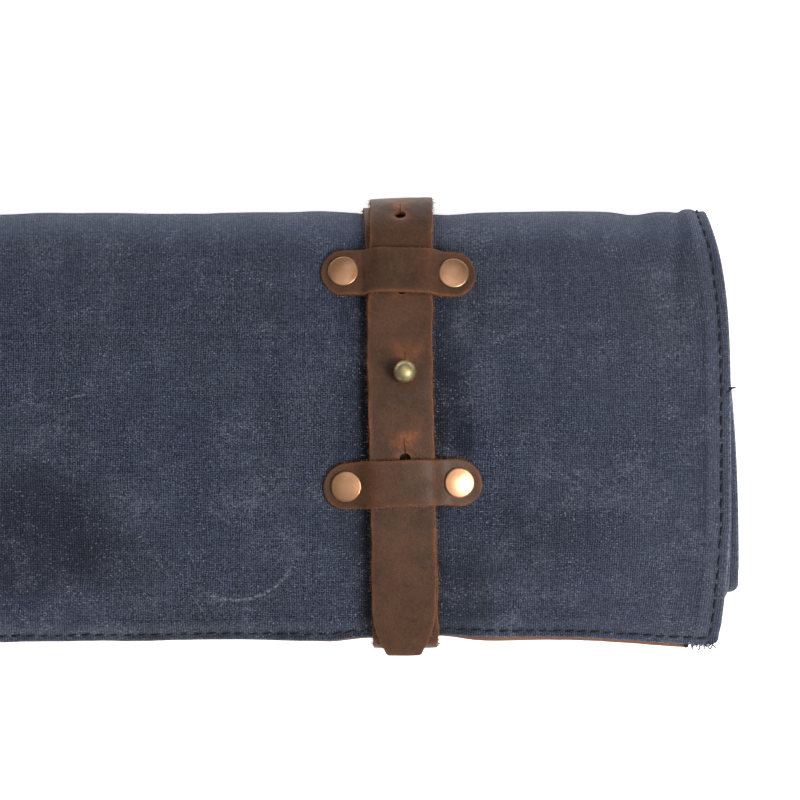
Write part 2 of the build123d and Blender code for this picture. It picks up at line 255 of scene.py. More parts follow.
def ripples(across, along, wavelength, seed, count=9, stretch=1.0):
    """Smooth random waves, about -1 to 1, longer along than across by the stretch."""
    rng = np.random.default_rng(seed)
    total = np.zeros(np.broadcast(across, along).shape)
    for _ in range(count):
        angle, phase = rng.uniform(0, math.pi), rng.uniform(0, 2 * math.pi)
        pitch = 2 * math.pi / (wavelength * rng.uniform(0.7, 1.6))
        total += np.cos(pitch * (across * math.cos(angle) + along * math.sin(angle) / stretch) + phase)
    return total / math.sqrt(count * 2)


def graded(length, edge_steps, pitch):
    """Stations from 0 to length, close together near both ends and evenly spaced between."""
    edge = np.array(edge_steps)
    count = max(2, int(round((length - 2 * edge[-1]) / pitch)))
    middle = np.linspace(edge[-1], length - edge[-1], count + 1)
    return np.concatenate([edge[:-1], middle, (length - edge[:-1])[::-1]])


def rounded(distance, radius):
    """The half-thickness share at a distance from a rounded edge: 0 on the edge, 1 inside."""
    t = np.clip(1 - distance / radius, 0, 1)
    return np.sqrt(1 - t * t)


def glide(value, knots):
    """A smooth line through (place, height) knots."""
    places, heights = np.array(knots, float).T
    fine = np.linspace(places[0], places[-1], GLIDE_STEPS)
    kernel = np.hanning(2 * GLIDE_BLUR + 1)
    padded = np.pad(np.interp(fine, places, heights), GLIDE_BLUR, mode="edge")
    return np.interp(value, fine, np.convolve(padded, kernel / kernel.sum(), mode="valid"))


def turn_of(degrees):
    """The cosine and sine of an angle in degrees."""
    return math.cos(math.radians(degrees)), math.sin(math.radians(degrees))


# -------- meshes
SHEET_WELD = 0.0008


def add_object(name, data):
    """A new object in the scene."""
    thing = bpy.data.objects.new(name, data)
    bpy.context.scene.collection.objects.link(thing)
    return thing


def store(mesh, key, vectors):
    """Give each vertex a vector, under a name that the materials read."""
    layer = mesh.attributes.get(key) or mesh.attributes.new(key, "FLOAT_VECTOR", "POINT")
    layer.data.foreach_set("vector", np.asarray(vectors, np.float32).reshape(-1))


def face_outwards(mesh, weld=0.0):
    """Join vertices that are closer than the weld (mm) and turn every face outwards."""
    work = bmesh.new()
    work.from_mesh(mesh)
    if weld:
        bmesh.ops.remove_doubles(work, verts=work.verts, dist=weld * MM)
    bmesh.ops.recalc_face_normals(work, faces=work.faces)
    work.to_mesh(mesh)
    work.free()


def new_piece(name, points, faces, material, body=ROOT, weld=0.0, cloth=None):
    """A smooth-shaded mesh object in metres from points in millimetres, riding a body."""
    mesh = bpy.data.meshes.new(name)
    mesh.from_pydata((np.asarray(points, float).reshape(-1, 3) * MM).tolist(), [], faces)
    if cloth is not None:
        store(mesh, "cloth", cloth)
    if weld:
        face_outwards(mesh, weld)
    mesh.shade_smooth()
    mesh.materials.append(material)
    piece = add_object(name, mesh)
    if body:
        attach(piece, body)
    return piece


def grid_faces(rows, columns, first=0, flip=False, wrap=False):
    """Quads over a grid of points that are counted along its columns first."""
    faces = []
    for row in range(rows - 1):
        for column in range(columns if wrap else columns - 1):
            following = (column + 1) % columns
            a, b = first + row * columns + column, first + row * columns + following
            quad = (a, b, b + columns, a + columns)
            faces.append(quad[::-1] if flip else quad)
    return faces


def slab(name, middle, normal, half, material, cloth=None, body=ROOT):
    """A closed sheet from a grid of middle points, its half-thickness 0 round the rim.

    The materials of cloth read each point's place on the flat cloth, as across and along.
    """
    rows, columns = half.shape
    depth = normal * half[..., None]
    points = np.concatenate([(middle + depth).reshape(-1, 3), (middle - depth).reshape(-1, 3)])
    faces = grid_faces(rows, columns) + grid_faces(rows, columns, rows * columns, flip=True)
    if cloth is not None:
        cloth = np.tile(np.stack([*cloth, 0 * half], -1).reshape(-1, 3), (2, 1))
    return new_piece(name, points, faces, material, body, SHEET_WELD, cloth)


def on_path(path, x, along, depth):
    """Points at a depth under a path (rows follow it, columns cross it) and their outward normals."""
    y, z, heading = path.at(along)
    outward = np.radians(heading + 90)
    normal = np.stack([np.zeros_like(y), np.cos(outward), np.sin(outward)], -1)
    return np.stack([x, y, z], -1) - normal * depth[..., None], normal


# -------- materials
HALF_WIDTH = 179.4         # half the cover's cloth, along the roll
STITCH_INSET = 3.0         # from its turned-in side edges to their stitching
EDGE_STITCH = 2.6          # and from its free edge
WARP_PITCH = 0.73
WEFT_PITCH = 0.55
LINING_PITCH = 0.45
FOLD_BAND_AT = FOLD_AT - 10.0   # the band along the top fold: partly chalky rub, partly painted sheen

# Colours are sRGB, 0 to 255.
YARN_SHADOW = (15, 19, 32)
YARN_LIGHT = (100, 107, 130)
WAX_CLOUD = (80, 86, 104)
WAX_TINTS = ((245, 251, 252), (240, 243, 255))
# painted shade for the canvas's darker patches
PATCH_SHADE = (22, 27, 40)
# painted shadow beside the straps
STRAP_SHADOW = (10, 12, 20)
# painted light: lighter canvas on the roll's right part and along the side hems
LIT_CANVAS = (124, 129, 148)
LIP_SHADE = (24, 27, 38)
SEAM_SHADE = (14, 18, 30)
# painted sheen that lightens and blues the band along the top fold
FOLD_SHEEN = (92, 106, 142)
CHALK = (146, 151, 169)
DUST = (150, 160, 180)
PIT = (12, 16, 28)
HUSK = (150, 110, 80)
# painted shadow in the straps' holes and beside the studs
SHADOW_TONE = (10, 6, 5)


class Value:
    """A number that nodes work out; the usual operators add maths nodes to its material."""

    def __init__(self, nodes, socket):
        self.nodes, self.socket = nodes, socket

    def maths(self, operation, other=0.0):
        return self.nodes.maths(operation, self, other)

    def __add__(self, other):
        return self.maths("ADD", other)

    def __sub__(self, other):
        return self.maths("SUBTRACT", other)

    def __rsub__(self, other):
        return self.nodes.maths("SUBTRACT", other, self)

    def __mul__(self, other):
        return self.maths("MULTIPLY", other)

    def __truediv__(self, other):
        return self.maths("DIVIDE", other)

    def __pow__(self, power):
        return self.maths("POWER", power)

    def __abs__(self):
        return self.maths("ABSOLUTE")


class Nodes:
    """Builds a material's node tree with short calls."""

    def __init__(self, name):
        self.material = bpy.data.materials.new(name)
        self.material.use_nodes = True
        self.tree = self.material.node_tree
        self.shader = next(n for n in self.tree.nodes if n.type == "BSDF_PRINCIPLED")

    def put(self, socket, value):
        """Link a node's output to a socket, or set the socket to a constant."""
        value = value.socket if isinstance(value, Value) else value
        if isinstance(value, bpy.types.NodeSocket):
            self.tree.links.new(value, socket)
        else:
            socket.default_value = rgb(value) if isinstance(value, tuple) and len(value) == 3 else value

    def add(self, kind, **inputs):
        """A new node; an input's name has _ for each space."""
        node = self.tree.nodes.new("ShaderNode" + kind)
        for key, value in inputs.items():
            self.put(node.inputs[key.replace("_", " ")], value)
        return node

    def maths(self, operation, first, second):
        node = self.add("Math")
        node.operation = operation
        self.put(node.inputs[0], first)
        self.put(node.inputs[1], second)
        return Value(self, node.outputs[0])

    def attribute(self, name):
        node = self.add("Attribute")
        node.attribute_name = name
        return node.outputs["Vector"]

    def place(self):
        """The point on the object, in metres."""
        return self.add("TexCoord").outputs["Object"]

    def split(self, vector):
        return [Value(self, socket) for socket in self.add("SeparateXYZ", Vector=vector).outputs]

    def join(self, x, y, z=0.0):
        return self.add("CombineXYZ", X=x, Y=y, Z=z).outputs[0]

    def noise(self, vector, scale, detail=3.0, roughness=0.55, distortion=0.0):
        node = self.add(
            "TexNoise", Vector=vector, Scale=scale, Detail=detail, Roughness=roughness, Distortion=distortion)
        return Value(self, node.outputs["Fac"])

    def cells(self, vector, scale):
        return Value(self, self.add("TexVoronoi", Vector=vector, Scale=scale).outputs["Distance"])

    def random(self, x, y, z=0.0):
        return Value(self, self.add("TexWhiteNoise", Vector=self.join(x, y, z)).outputs["Value"])

    def ramp(self, value, low, high, start=0.0, end=1.0):
        """Map low..high to start..end, with soft ends."""
        node = self.add("MapRange", Value=value, From_Min=low, From_Max=high, To_Min=start, To_Max=end)
        node.interpolation_type = "SMOOTHSTEP"
        return Value(self, node.outputs["Result"])

    def mix(self, share, first, second, blend="MIX"):
        """Mix two colours, given as triples or as sockets."""
        node = self.add("Mix")
        node.data_type = "RGBA"
        node.blend_type = blend
        for index, value in ((0, share), (6, first), (7, second)):
            self.put(node.inputs[index], value)
        return node.outputs[2]

    def bump(self, height, distance, strength=1.0, **normal):
        node = self.add("Bump", Height=height, Distance=distance, Strength=strength, **normal)
        return node.outputs["Normal"]

    def finish(self, colour, roughness, **others):
        """Wire the shader up; constants go straight on its sockets."""
        for key, value in {"Base_Color": colour, "Roughness": roughness, **others}.items():
            self.put(self.shader.inputs[key.replace("_", " ")], value)
        return self.material


def rgb(colour):
    """Linear RGBA from an sRGB triple of 0 to 255."""
    linear = [(c / 255 / 12.92) if c < 10.3 else ((c / 255 + 0.055) / 1.055) ** 2.4 for c in colour]
    return (*linear, 1.0)


def weave(nodes, u, v, warp_pitch, weft_pitch):
    """A plain weave's height (0 to 1), and random shades of each yarn and of each crossing."""
    warp, weft = u / warp_pitch, v / weft_pitch
    warp_wave, weft_wave = [(yarn * math.pi).maths("SINE") for yarn in (warp, weft)]
    warp_over = (warp_wave * weft_wave).maths("GREATER_THAN")
    weft_over = 1.0 - warp_over
    warp_back, weft_back = [abs(wave) ** 0.6 for wave in (warp_wave, weft_wave)]
    warp_height = warp_back * (weft_back * 0.55 + 0.45)
    weft_height = weft_back * (warp_back * 0.55 + 0.45)
    warp_row, weft_row = warp.maths("FLOOR"), weft.maths("FLOOR")
    shade = warp_over * nodes.random(warp_row, 3.0) + weft_over * nodes.random(weft_row, 7.0)
    return warp_over * warp_height + weft_over * weft_height, shade, nodes.random(warp_row, weft_row, 1.0)


def canvas_material():
    """Navy waxed duck: plain weave, mottled wax, chalky rubs and a few dry scratches, with painted shade and
    light.
    """
    nodes = Nodes("waxed_canvas")
    mix, noise, ramp = nodes.mix, nodes.noise, nodes.ramp
    u, v = nodes.split(nodes.attribute("cloth"))[:2]
    flat = nodes.join(u, v)
    drift = noise(flat, 0.05, 2.0) * 2.4 - 1.2
    height, shade, knot = weave(nodes, u + drift, v + drift, WARP_PITCH, WEFT_PITCH)

    cloud = noise(flat, 0.018, 4.0, 0.6, 0.3)
    blotch = noise(flat, 0.11, 4.0, 0.65)
    fuzz = noise(flat, 1.9, 2.0, 0.8)
    slub = noise(nodes.join(u * 4.0, v), 0.35, 2.0, 0.7)
    rib = abs(((u + drift) * (math.pi / WARP_PITCH)).maths("SINE"))
    # the weave's height and ribs lighten its crests and darken its hollows: painted shade, among random yarn
    # tones
    tone = height * 0.26 + rib * 0.09 + knot * 0.14 + shade * 0.10 + fuzz * 0.95 + slub * 0.22
    colour = mix(ramp(tone, 0.70, 1.24), YARN_SHADOW, YARN_LIGHT)
    colour = mix(ramp(cloud, 0.34, 0.66) * 0.22, colour, WAX_CLOUD)
    tint = mix(ramp(noise(flat, 0.024, 3.0, 0.6), 0.38, 0.62), *WAX_TINTS)
    colour = mix(1.0, colour, tint, "MULTIPLY")
    # painted shade: darker patches over the dents and beside the straps
    colour = mix(patches(nodes, u, v, SHADE_PATCHES), colour, PATCH_SHADE)
    # painted shadow along the straps' sides
    colour = mix(strap_side_shadows(nodes, u, v), colour, STRAP_SHADOW)

    side_edge = HALF_WIDTH - abs(u)
    # painted light: the roll's right part and the turned-in side hems are made lighter
    painted_light = ramp(u, 90.0, 165.0, 0.0, 0.10) + ramp(side_edge, 10.0, 4.0, 0.0, 0.14)
    colour = mix(painted_light, colour, LIT_CANVAS)
    # painted shade along the flap's free edge, fading out towards the right
    colour = mix(ramp(v, 3.4, 1.6, 0.0, 0.42) * ramp(u, 50.0, 110.0, 1.0, 0.2), colour, LIP_SHADE)
    # painted shade in the stitching grooves
    seam = abs(side_edge - STITCH_INSET).maths("MINIMUM", abs(v - EDGE_STITCH))
    colour = mix(ramp(seam, 0.9, 0.2, 0.0, 0.22), colour, SEAM_SHADE)
    # the top fold's band: partly chalky rub, partly painted sheen
    fold_rub_and_sheen = ramp(abs(v - FOLD_BAND_AT), 13.0, 3.0)
    colour = mix(fold_rub_and_sheen * 0.3, colour, FOLD_SHEEN)

    rub = ramp(noise(flat, 0.05, 5.0, 0.65, 0.6), 0.42, 0.72) * 0.42 * ramp(blotch, 0.35, 0.68)
    rub = rub + fold_rub_and_sheen * 0.14 + ramp(side_edge.maths("MINIMUM", v), 1.2, 0.2, 0.0, 0.45)
    rub = rub + scratches(nodes, u, v) + patches(nodes, u, v, CHALK_PATCHES)
    speckle = ramp(tone, 0.55, 1.0, 0.15, 1.0) * ramp(knot, 0.2, 0.9, 0.3, 1.0)
    colour = mix((rub * speckle).maths("MINIMUM", 0.8), colour, CHALK)
    speck = ramp(noise(flat, 1.5, 0.0), 0.68, 0.76) * ramp(blotch, 0.36, 0.66, 0.15, 1.0)
    colour = mix(speck * 0.75, colour, DUST)
    colour = mix(ramp(noise(nodes.join(v, u), 1.4, 0.0), 0.33, 0.25) * 0.5, colour, PIT)
    chance = nodes.random((u * 1.5).maths("FLOOR"), (v * 1.5).maths("FLOOR"), 5.0)
    colour = mix(chance.maths("GREATER_THAN", 0.99993) * 0.5, colour, HUSK)

    normal = nodes.bump(noise(flat, 0.25, 3.0), 0.25 * MM, 0.6)
    normal = nodes.bump(fuzz * 0.5 + height, 0.30 * MM, 0.9, Normal=normal)
    return nodes.finish(
        colour, ramp(cloud, 0.3, 0.7, 0.60, 0.78), Normal=normal, Specular_IOR_Level=0.32,
        Sheen_Weight=0.14, Sheen_Roughness=0.35, Sheen_Tint=(0.85, 0.92, 1.0, 1.0))


# Places on the cloth painted darker as shade, over the dents and beside the straps, and where it is chalky:
# x, distance from the flap's edge, half width, half length, strength.
SHADE_PATCHES = (
    (-36, 34, 30, 24, 0.6), (93, 68, 9, 27, 0.75), (63, 60, 7, 46, 0.3), (97, 104, 8, 14, 0.3),
    (-8, 26, 18, 10, 0.25), (96, 14, 13, 16, 0.5), (63, 112, 6, 16, 0.3), (120, 34, 26, 16, 0.3))
CHALK_PATCHES = (
    (-4, 44, 14, 8, 0.12), (34, 46, 12, 8, 0.15), (41, 31, 12, 8, 0.12), (49, 77, 8, 15, 0.12),
    (103, 80, 8, 13, 0.14), (99, 129, 13, 5, 0.22), (97, 98, 4, 8, 0.3), (150, 48, 12, 8, 0.14),
    (161, 92, 11, 10, 0.12), (-90, 70, 26, 14, 0.15), (-140, 30, 18, 12, 0.15))


def patches(nodes, u, v, places):
    """Soft ovals on the cloth, as a share of 1."""
    total = 0.0
    for x, along, wide, long, strength in places:
        du, dv = (u - x) / wide, (v - along) / long
        total = nodes.ramp(du * du + dv * dv, 1.3, 0.1, 0.0, strength) + total
    return total


def strap_side_shadows(nodes, u, v):
    """Painted shadow along both sides of each strap, heavier on its left side, fading out over the top fold.
    """
    total = 0.0
    for middle in (STRAP_X, -STRAP_X):
        for offset, reach, strength in ((-11.6, 4.2, 0.75), (11.2, 3.8, 0.45)):
            total = nodes.ramp(abs(u - (middle + offset)), reach, 0.4, 0.0, strength) + total
    return total * nodes.ramp(v, FOLD_AT + 25, FOLD_AT - 15)


# Dry marks in the wax: straight strokes (x, along, angle, length, half width, strength)
# and arcs (x, along, radius, direction of the middle, half spread, half width, strength).
STROKES = (
    (-22.5, 76.4, 11, 10, 0.45, 0.75), (4.1, 24, -55, 11, 0.6, 0.3), (14.7, 13, -55, 11, 0.35, 0.35),
    (21.7, 39.5, -33, 11, 0.9, 0.3), (8.8, 75, 90, 6, 0.4, 0.3), (112, 96, 32, 13, 0.7, 0.2),
    (128, 52, -35, 14, 0.7, 0.2), (-60, 90, 40, 20, 0.8, 0.35), (-120, 60, -25, 30, 0.8, 0.35),
    (-95, 30, 12, 22, 0.7, 0.35))
ARCS = ((26.6, 33.2, 19.7, 288, 52, 0.75, 0.75), (-70, 40, 40, 200, 35, 0.8, 0.35))


def scratches(nodes, u, v):
    """The dry marks in the wax, as a share of chalkiness."""
    total = 0.0

    def ray(du, dv, angle):
        """How far (du, dv) reaches along a direction."""
        return du * math.cos(math.radians(angle)) + dv * math.sin(math.radians(angle))

    def line(off, width, strength):
        """A thin line round off = 0."""
        return nodes.ramp(abs(off), width, width * 0.2, 0.0, strength)

    for x, along, angle, length, width, strength in STROKES:
        du, dv = u - x, v - along
        reach = nodes.ramp(abs(ray(du, dv, angle)), length / 2, length / 4)
        total = line(ray(du, dv, angle + 90), width, strength) * reach + total
    for x, along, radius, direction, spread, width, strength in ARCS:
        du, dv = u - x, v - along
        away = (du * du + dv * dv).maths("SQRT")
        facing = ray(du, dv, direction) / (away + 0.01)
        reach = nodes.ramp(facing, math.cos(math.radians(spread)), math.cos(math.radians(spread * 0.6)))
        total = line(away - radius, width, strength) * reach + total
    return total


def lining_material():
    """Plain grey-blue cotton with a finer weave."""
    nodes = Nodes("cotton_lining")
    u, v = nodes.split(nodes.attribute("cloth"))[:2]
    height, shade = weave(nodes, u, v, LINING_PITCH, LINING_PITCH)[:2]
    colour = nodes.mix(shade * 0.4, (92, 96, 104), (120, 124, 132))
    # painted shade: the weave's hollows darker than its crests
    colour = nodes.mix(nodes.ramp(height, 0.6, 0.1), colour, (58, 61, 68))
    return nodes.finish(colour, 0.85, Normal=nodes.bump(height, 0.18 * MM, 0.8), Sheen_Weight=0.15)


def leather_material(name, body, dark, rub, worn_tone, edge, roughness):
    """Oiled leather: cloudy pull-up colour, fine pores, creases and a fuzzy, redder cut edge.

    The mesh's wear attribute holds cut edge, rubbed surface and flesh side, each 0 to 1. A second attribute
    holds painted shadow, in and under the holes and beside the stud; the leather is rougher there too.
    """
    nodes = Nodes(name)
    mix, noise, ramp = nodes.mix, nodes.noise, nodes.ramp
    place = nodes.place()
    cut, rubbed, flesh = nodes.split(nodes.attribute("wear"))
    painted_shadow = nodes.split(nodes.attribute("painted_shadow"))[0]
    cloud = noise(place, 70.0, 5.0, 0.62, 0.4)
    colour = mix(ramp(cloud, 0.32, 0.7), dark, body)
    colour = mix(ramp(noise(place, 900.0, 4.0, 0.65), 0.40, 0.75, 0.0, 0.28), colour, rub)
    hatch = ramp(noise(place, 2000.0, 2.0, 0.8), 0.54, 0.34, 0.0, 0.5)
    colour = mix(hatch, colour, tuple(0.6 * c for c in dark))
    worn = rubbed * ramp(noise(place, 240.0, 3.0, 0.6), 0.3, 0.7, 0.35, 1.0)
    worn = worn * ramp(noise(place, 1300.0, 4.0, 0.75), 0.35, 0.6, 0.35, 1.0)
    colour = mix(worn, colour, worn_tone)
    fibre = noise(place, 2600.0, 3.0, 0.7)
    raw = mix(ramp(fibre, 0.3, 0.75), tuple(0.62 * c for c in edge), edge)
    frayed = cut * ramp(noise(place, 500.0, 3.0), 0.25, 0.6, 0.55, 1.0)
    colour = mix(frayed.maths("MAXIMUM", flesh).maths("MINIMUM", 1.0), colour, raw)
    # painted shadow: dark in the holes, on the under lap through them and beside the stud
    colour = mix(painted_shadow * 0.95, colour, SHADOW_TONE)
    bare = cut.maths("MAXIMUM", flesh)
    crease = noise(place, 160.0, 5.0, 0.7, 1.0)
    grain = nodes.cells(place, 1500.0) * 0.35 + crease * 0.9 + fibre * (bare * 2.6 + 0.2)
    gloss = ramp(cloud, 0.3, 0.75, roughness + 0.07, roughness - 0.05) + bare.maths("MAXIMUM", painted_shadow) * 0.38
    return nodes.finish(
        colour, gloss, Normal=nodes.bump(grain, 0.12 * MM, 0.7), Specular_IOR_Level=0.36,
        Sheen_Weight=0.05, Sheen_Roughness=0.4)


def metal_material(name, bright, dull, dirt, roughness):
    """Worn plated metal: patina clouds, hairline scratches and dirt in specks."""
    nodes = Nodes(name)
    place = nodes.place()
    cloud = nodes.noise(place, 190.0, 3.0, 0.5)
    colour = nodes.mix(nodes.ramp(cloud, 0.35, 0.7), bright, dull)
    specks = nodes.noise(place, 1900.0, 3.0, 0.7)
    colour = nodes.mix(nodes.ramp(specks, 0.62, 0.78, 0.0, 0.5), colour, dirt)
    x, y, z = nodes.split(place)
    streaks = nodes.noise(nodes.join(x * 9.0, y, z), 900.0, 2.0, 0.6)
    gloss = nodes.ramp(cloud, 0.3, 0.7, roughness - 0.06, roughness + 0.10)
    normal = nodes.bump(streaks * 0.5 + specks, 0.02 * MM, 0.5)
    return nodes.finish(colour, gloss, Normal=normal, Metallic=1.0)


def thread_material():
    """Waxed navy sewing thread, darker than the canvas."""
    nodes = Nodes("thread")
    twist = nodes.noise(nodes.place(), 2400.0, 2.0, 0.6)
    colour = nodes.mix(nodes.ramp(twist, 0.35, 0.65), (7, 9, 17), (22, 26, 40))
    return nodes.finish(colour, 0.6, Normal=nodes.bump(twist, 0.06 * MM, 0.8), Sheen_Weight=0.1)


CANVAS = canvas_material()
LINING = lining_material()
STRAP = leather_material(
    "strap_leather", (100, 66, 44), (73, 47, 32), (126, 82, 53), (172, 100, 58), (180, 122, 84), 0.50)
FACING = leather_material(
    "facing_leather", (150, 100, 74), (120, 77, 56), (168, 116, 88), (178, 120, 90), (196, 140, 106), 0.62)
COPPER = metal_material("rivet_copper", (220, 168, 130), (198, 146, 108), (120, 86, 66), 0.36)
BRASS = metal_material("stud_brass", (214, 198, 152), (180, 164, 120), (96, 86, 64), 0.46)
THREAD = thread_material()


# -------- how the cloth lies
HEM_WIDTH = 8.0
HEM_EXTRA = 0.8            # how much thicker the cloth is where it is turned in
HEM_RISE = 0.42
HEM_RIDGE = 0.20           # along the turned-in edge underneath
SEAM_DEPTH = 0.56
SEAM_WIDTH = 0.75
STITCH_PITCH = 4.3
STRAP_SINK = 0.35          # how deep the straps press the cloth in
KEEPERS = {"upper": (46.4, -1.2), "lower": (-17.8, 1.9)}     # y and lean in degrees
SIDES = (("right", 1), ("left", -1))

# Dents (-) and swells (+) pressed into the roll's front: x, y, angle, length, width, height.
DENTS = (
    (162.3, 49, 87, 25, 3.6, -1.5), (167.0, 54, 90, 26, 3.4, 0.7), (156.5, 52, 92, 26, 5.0, 0.35),
    (149.5, 66, 90, 12, 8.0, -1.1), (164.5, 67, 90, 16, 13.5, 1.05),
    (-52.0, -34, 25, 40, 26, -2.2), (-12.0, -50, 15, 24, 8, 0.4), (98.0, 2, 62, 16, 5.5, -0.45),
    (112.0, -40, -30, 26, 9, 0.35), (130.0, 24, 70, 30, 10, -0.35), (36.0, 20, 75, 34, 10, -0.3),
    (20.0, -30, 40, 26, 8, 0.4), (52.0, -48, 70, 16, 6, -0.45), (146.0, -20, 80, 30, 12, 0.3),
    (-110.0, 10, 60, 34, 12, -0.5), (-140.0, -30, 110, 26, 9, 0.4), (-50.0, 40, 20, 24, 10, 0.35),
    (-47.0, 66, 90, 14, 20, -1.1), (46.0, 66, 90, 12, 16, -0.3))


def flap_end_x(y):
    """Where the flap ends at the right: bowed in towards the top fold and the bottom corner."""
    high, low = np.clip(y + 29, 0, None) / 95, np.clip(-29 - y, 0, None) / 37
    return HALF_WIDTH - 7.2 * high ** 5.5 - 3.7 * low ** 1.5


def inner_end_x(y):
    """Where the innermost, folded ply ends: proud of the flap low down, behind it higher up."""
    return np.where(
        y > -50, panel_high_x - 12 * (np.clip(y + 50, 0, None) / 120) ** 2.5,
        panel_high_x - 2.6 * (1 - rounded(y + 53.6, 2.6)))


def drape(x, s):
    """How far the plies stand out (+) or sink in (-), x along the roll and s along the canvas."""
    y = roll_path.at(s)[0]
    outer = 1 - smooth_step(s, BOTTOM_AT - 30, BOTTOM_AT)
    front = 1 - smooth_step(s, FOLD_AT - 4, FOLD_AT + 14)
    lift = 0.42 * ripples(x, s, 52, 11, stretch=1.4) + 0.13 * ripples(x, s, 20, 12)
    lift = lift + 0.04 * ripples(x, s, 9, 13)
    for dent_x, dent_y, angle, length, width, height in DENTS:
        dx, dy = x - dent_x, y - dent_y
        cos, sin = turn_of(angle)
        run, off = dx * cos + dy * sin, dy * cos - dx * sin
        lift = lift + front * height * bump(run, 0, length / 1.6) * bump(off, 0, width / 1.6)
    beside = np.abs(np.abs(x) - STRAP_X)
    level = 0.35 + 0.65 * front * (1 - smooth_step(y, 40, 62))
    lift = lift + level * (1.15 * smooth_step(beside, 12, 24) * (1 - smooth_step(beside, 26, 52)))
    for keeper_y, _ in KEEPERS.values():
        foot = front * bump(beside, 15, 8) * bump(y, keeper_y, 9)
        swell = 0.75 * bump(beside, 12.5, 4) + 0.25 * bump(beside, 17.5, 4)
        lift = lift * (1 - foot) + (swell - 0.05) * foot
    strapped = 1 - smooth_step(beside, STRAP_WIDTH / 2 - 1, STRAP_WIDTH / 2 + 4.5)
    lift = lift * (1 - strapped) - STRAP_SINK * strapped
    inner = 0.35 * ripples(x, s, 60, 21)
    lift = lift * outer + inner * (1 - outer)
    curl = (0.3 + 2.2 * (1 - smooth_step(x, -10, 62))) * (1 - strapped)
    return lift - curl * np.clip(1 - s / 17, 0, 1) ** 2


def canvas_x(u, s, inset, inner=False):
    """Where the cloth's own across-distance u (mm) comes to lie along the roll."""
    y = roll_path.at(s)[0]
    turned_in = smooth_step(s, BOTTOM_AT - 25, BOTTOM_AT + 25)
    end = (1 - turned_in) * (inner_end_x(y) - inset if inner else flap_end_x(y))
    end = end + turned_in * (inner_end_x(y) - inset)
    slip = turned_in * 0.7 * ripples(0.0 * s, s, 190, 31 + int(inset))
    near_end = smooth_step(np.abs(u), HALF_WIDTH - 75, HALF_WIDTH - 12)
    return u + np.sign(u) * (end - HALF_WIDTH) * near_end + slip * near_end


# Rows of the cover's mesh near its edges, by distance from the edge.
EDGE_STEPS = (0, .13, .35, .65, .95, 1.5, 2.1, 2.6, 3.0, 3.4, 3.9, 4.7, 5.7, 6.7, 7.4, 7.9, 8.2, 8.7, 9.6, 11)
# How much longer the flap is than its path, by place along the roll: the edge isn't cut dead straight.
EDGE_GROWTH = (
    (-180, 2.2), (-90, 1.6), (-60, 2.6), (-20, 3.1), (2, 3.2), (25, 1.6), (46, 0.8), (66, 0.2),
    (90, -0.7), (110, -0.5), (139, 0.5), (166, 2.8), (180, 3.6))
CORNER_RADIUS = 3.2


def cover_point(u, s, height):
    """A point at a height over the cover's face, and the face's outward normal there."""
    x = canvas_x(u, s, 2.5)
    stretched = s - glide(x, EDGE_GROWTH) * np.clip(1 - s / 30, 0, 1)
    corner = 1 - rounded(HALF_WIDTH - np.abs(u), CORNER_RADIUS)
    stretched = stretched + CORNER_RADIUS * corner * np.clip(1 - s / 7, 0, 1)
    return on_path(roll_path, x, stretched, -(drape(x, s) + height))


def cover_relief(u, s):
    """The cover's face above its path, and its thickness: hems, seam grooves and puckers."""
    side_edge = HALF_WIDTH - np.abs(u)
    hem = 1 - smooth_step(np.minimum(side_edge, s), HEM_WIDTH - 0.5, HEM_WIDTH + 0.5)
    ridge = bump(side_edge, HEM_WIDTH - 0.9, 1.0) + bump(s, HEM_WIDTH - 0.9, 1.0)
    groove = 0.0
    for edge, inset, along in ((side_edge, STITCH_INSET, s - EDGE_STITCH),
                               (s, EDGE_STITCH, u + HALF_WIDTH - STITCH_INSET)):
        pull = 0.55 + 0.45 * np.cos(2 * math.pi * along / STITCH_PITCH)
        groove = groove + bump(edge, inset, SEAM_WIDTH) * pull
    groove = groove + 0.35 * bump(side_edge, STITCH_INSET, 2.0) + 0.35 * bump(s, EDGE_STITCH, 2.0)
    waver = 0.10 * ripples(u, s, 7, 41) * hem
    face = HEM_RISE * hem + HEM_RIDGE * ridge - SEAM_DEPTH * np.clip(groove, 0, 1.2) + waver
    return face, COVER_THICK + HEM_EXTRA * hem


def rows_of(path, start, end, arc_step, flat_step):
    """Stations along a path: close together on tight bends, farther apart on flats."""
    stations = [start]
    for (size, turn), leg_start, leg_end in zip(path.legs, path.marks, path.marks[1:]):
        low, high = max(leg_start, start), min(leg_end, end)
        if high - low < 0.01:
            continue
        step = min(flat_step, size * math.radians(arc_step)) if turn else flat_step
        stations.extend(np.linspace(low, high, max(2, math.ceil((high - low) / step) + 1))[1:])
    return np.array(stations)


def cover():
    """Outer cover: one long waxed cloth from the flap's free edge to the middle of the roll."""
    half = np.concatenate([
        np.linspace(0, 64, 19), np.linspace(64, 92, 17)[1:], np.linspace(92, 148, 16)[1:],
        np.linspace(148, HALF_WIDTH - EDGE_STEPS[-1], 16)[1:], HALF_WIDTH - np.array(EDGE_STEPS)[-2::-1]])
    u = np.concatenate([-half[:0:-1], half])
    front = np.concatenate([np.array(EDGE_STEPS), np.linspace(11, FOLD_AT, 82)[1:]])
    back = rows_of(roll_path, FOLD_AT, BOTTOM_AT, 9, 2.4)[1:]
    inner = rows_of(roll_path, BOTTOM_AT, ROLL_LENGTH, 12, 9)[1:]
    s = np.concatenate([front, back, inner])
    s[-1] = ROLL_LENGTH
    u, s = np.meshgrid(u, s)
    relief, thick = cover_relief(u, s)
    middle, normal = cover_point(u, s, relief - thick / 2)
    rim = np.minimum(np.minimum(HALF_WIDTH - np.abs(u), s), ROLL_LENGTH - s)
    half = thick / 2 * rounded(rim, 0.95)
    piece = slab("outer_cover_cloth", middle, normal, half, CANVAS, (u, s))
    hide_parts("outer_cover")


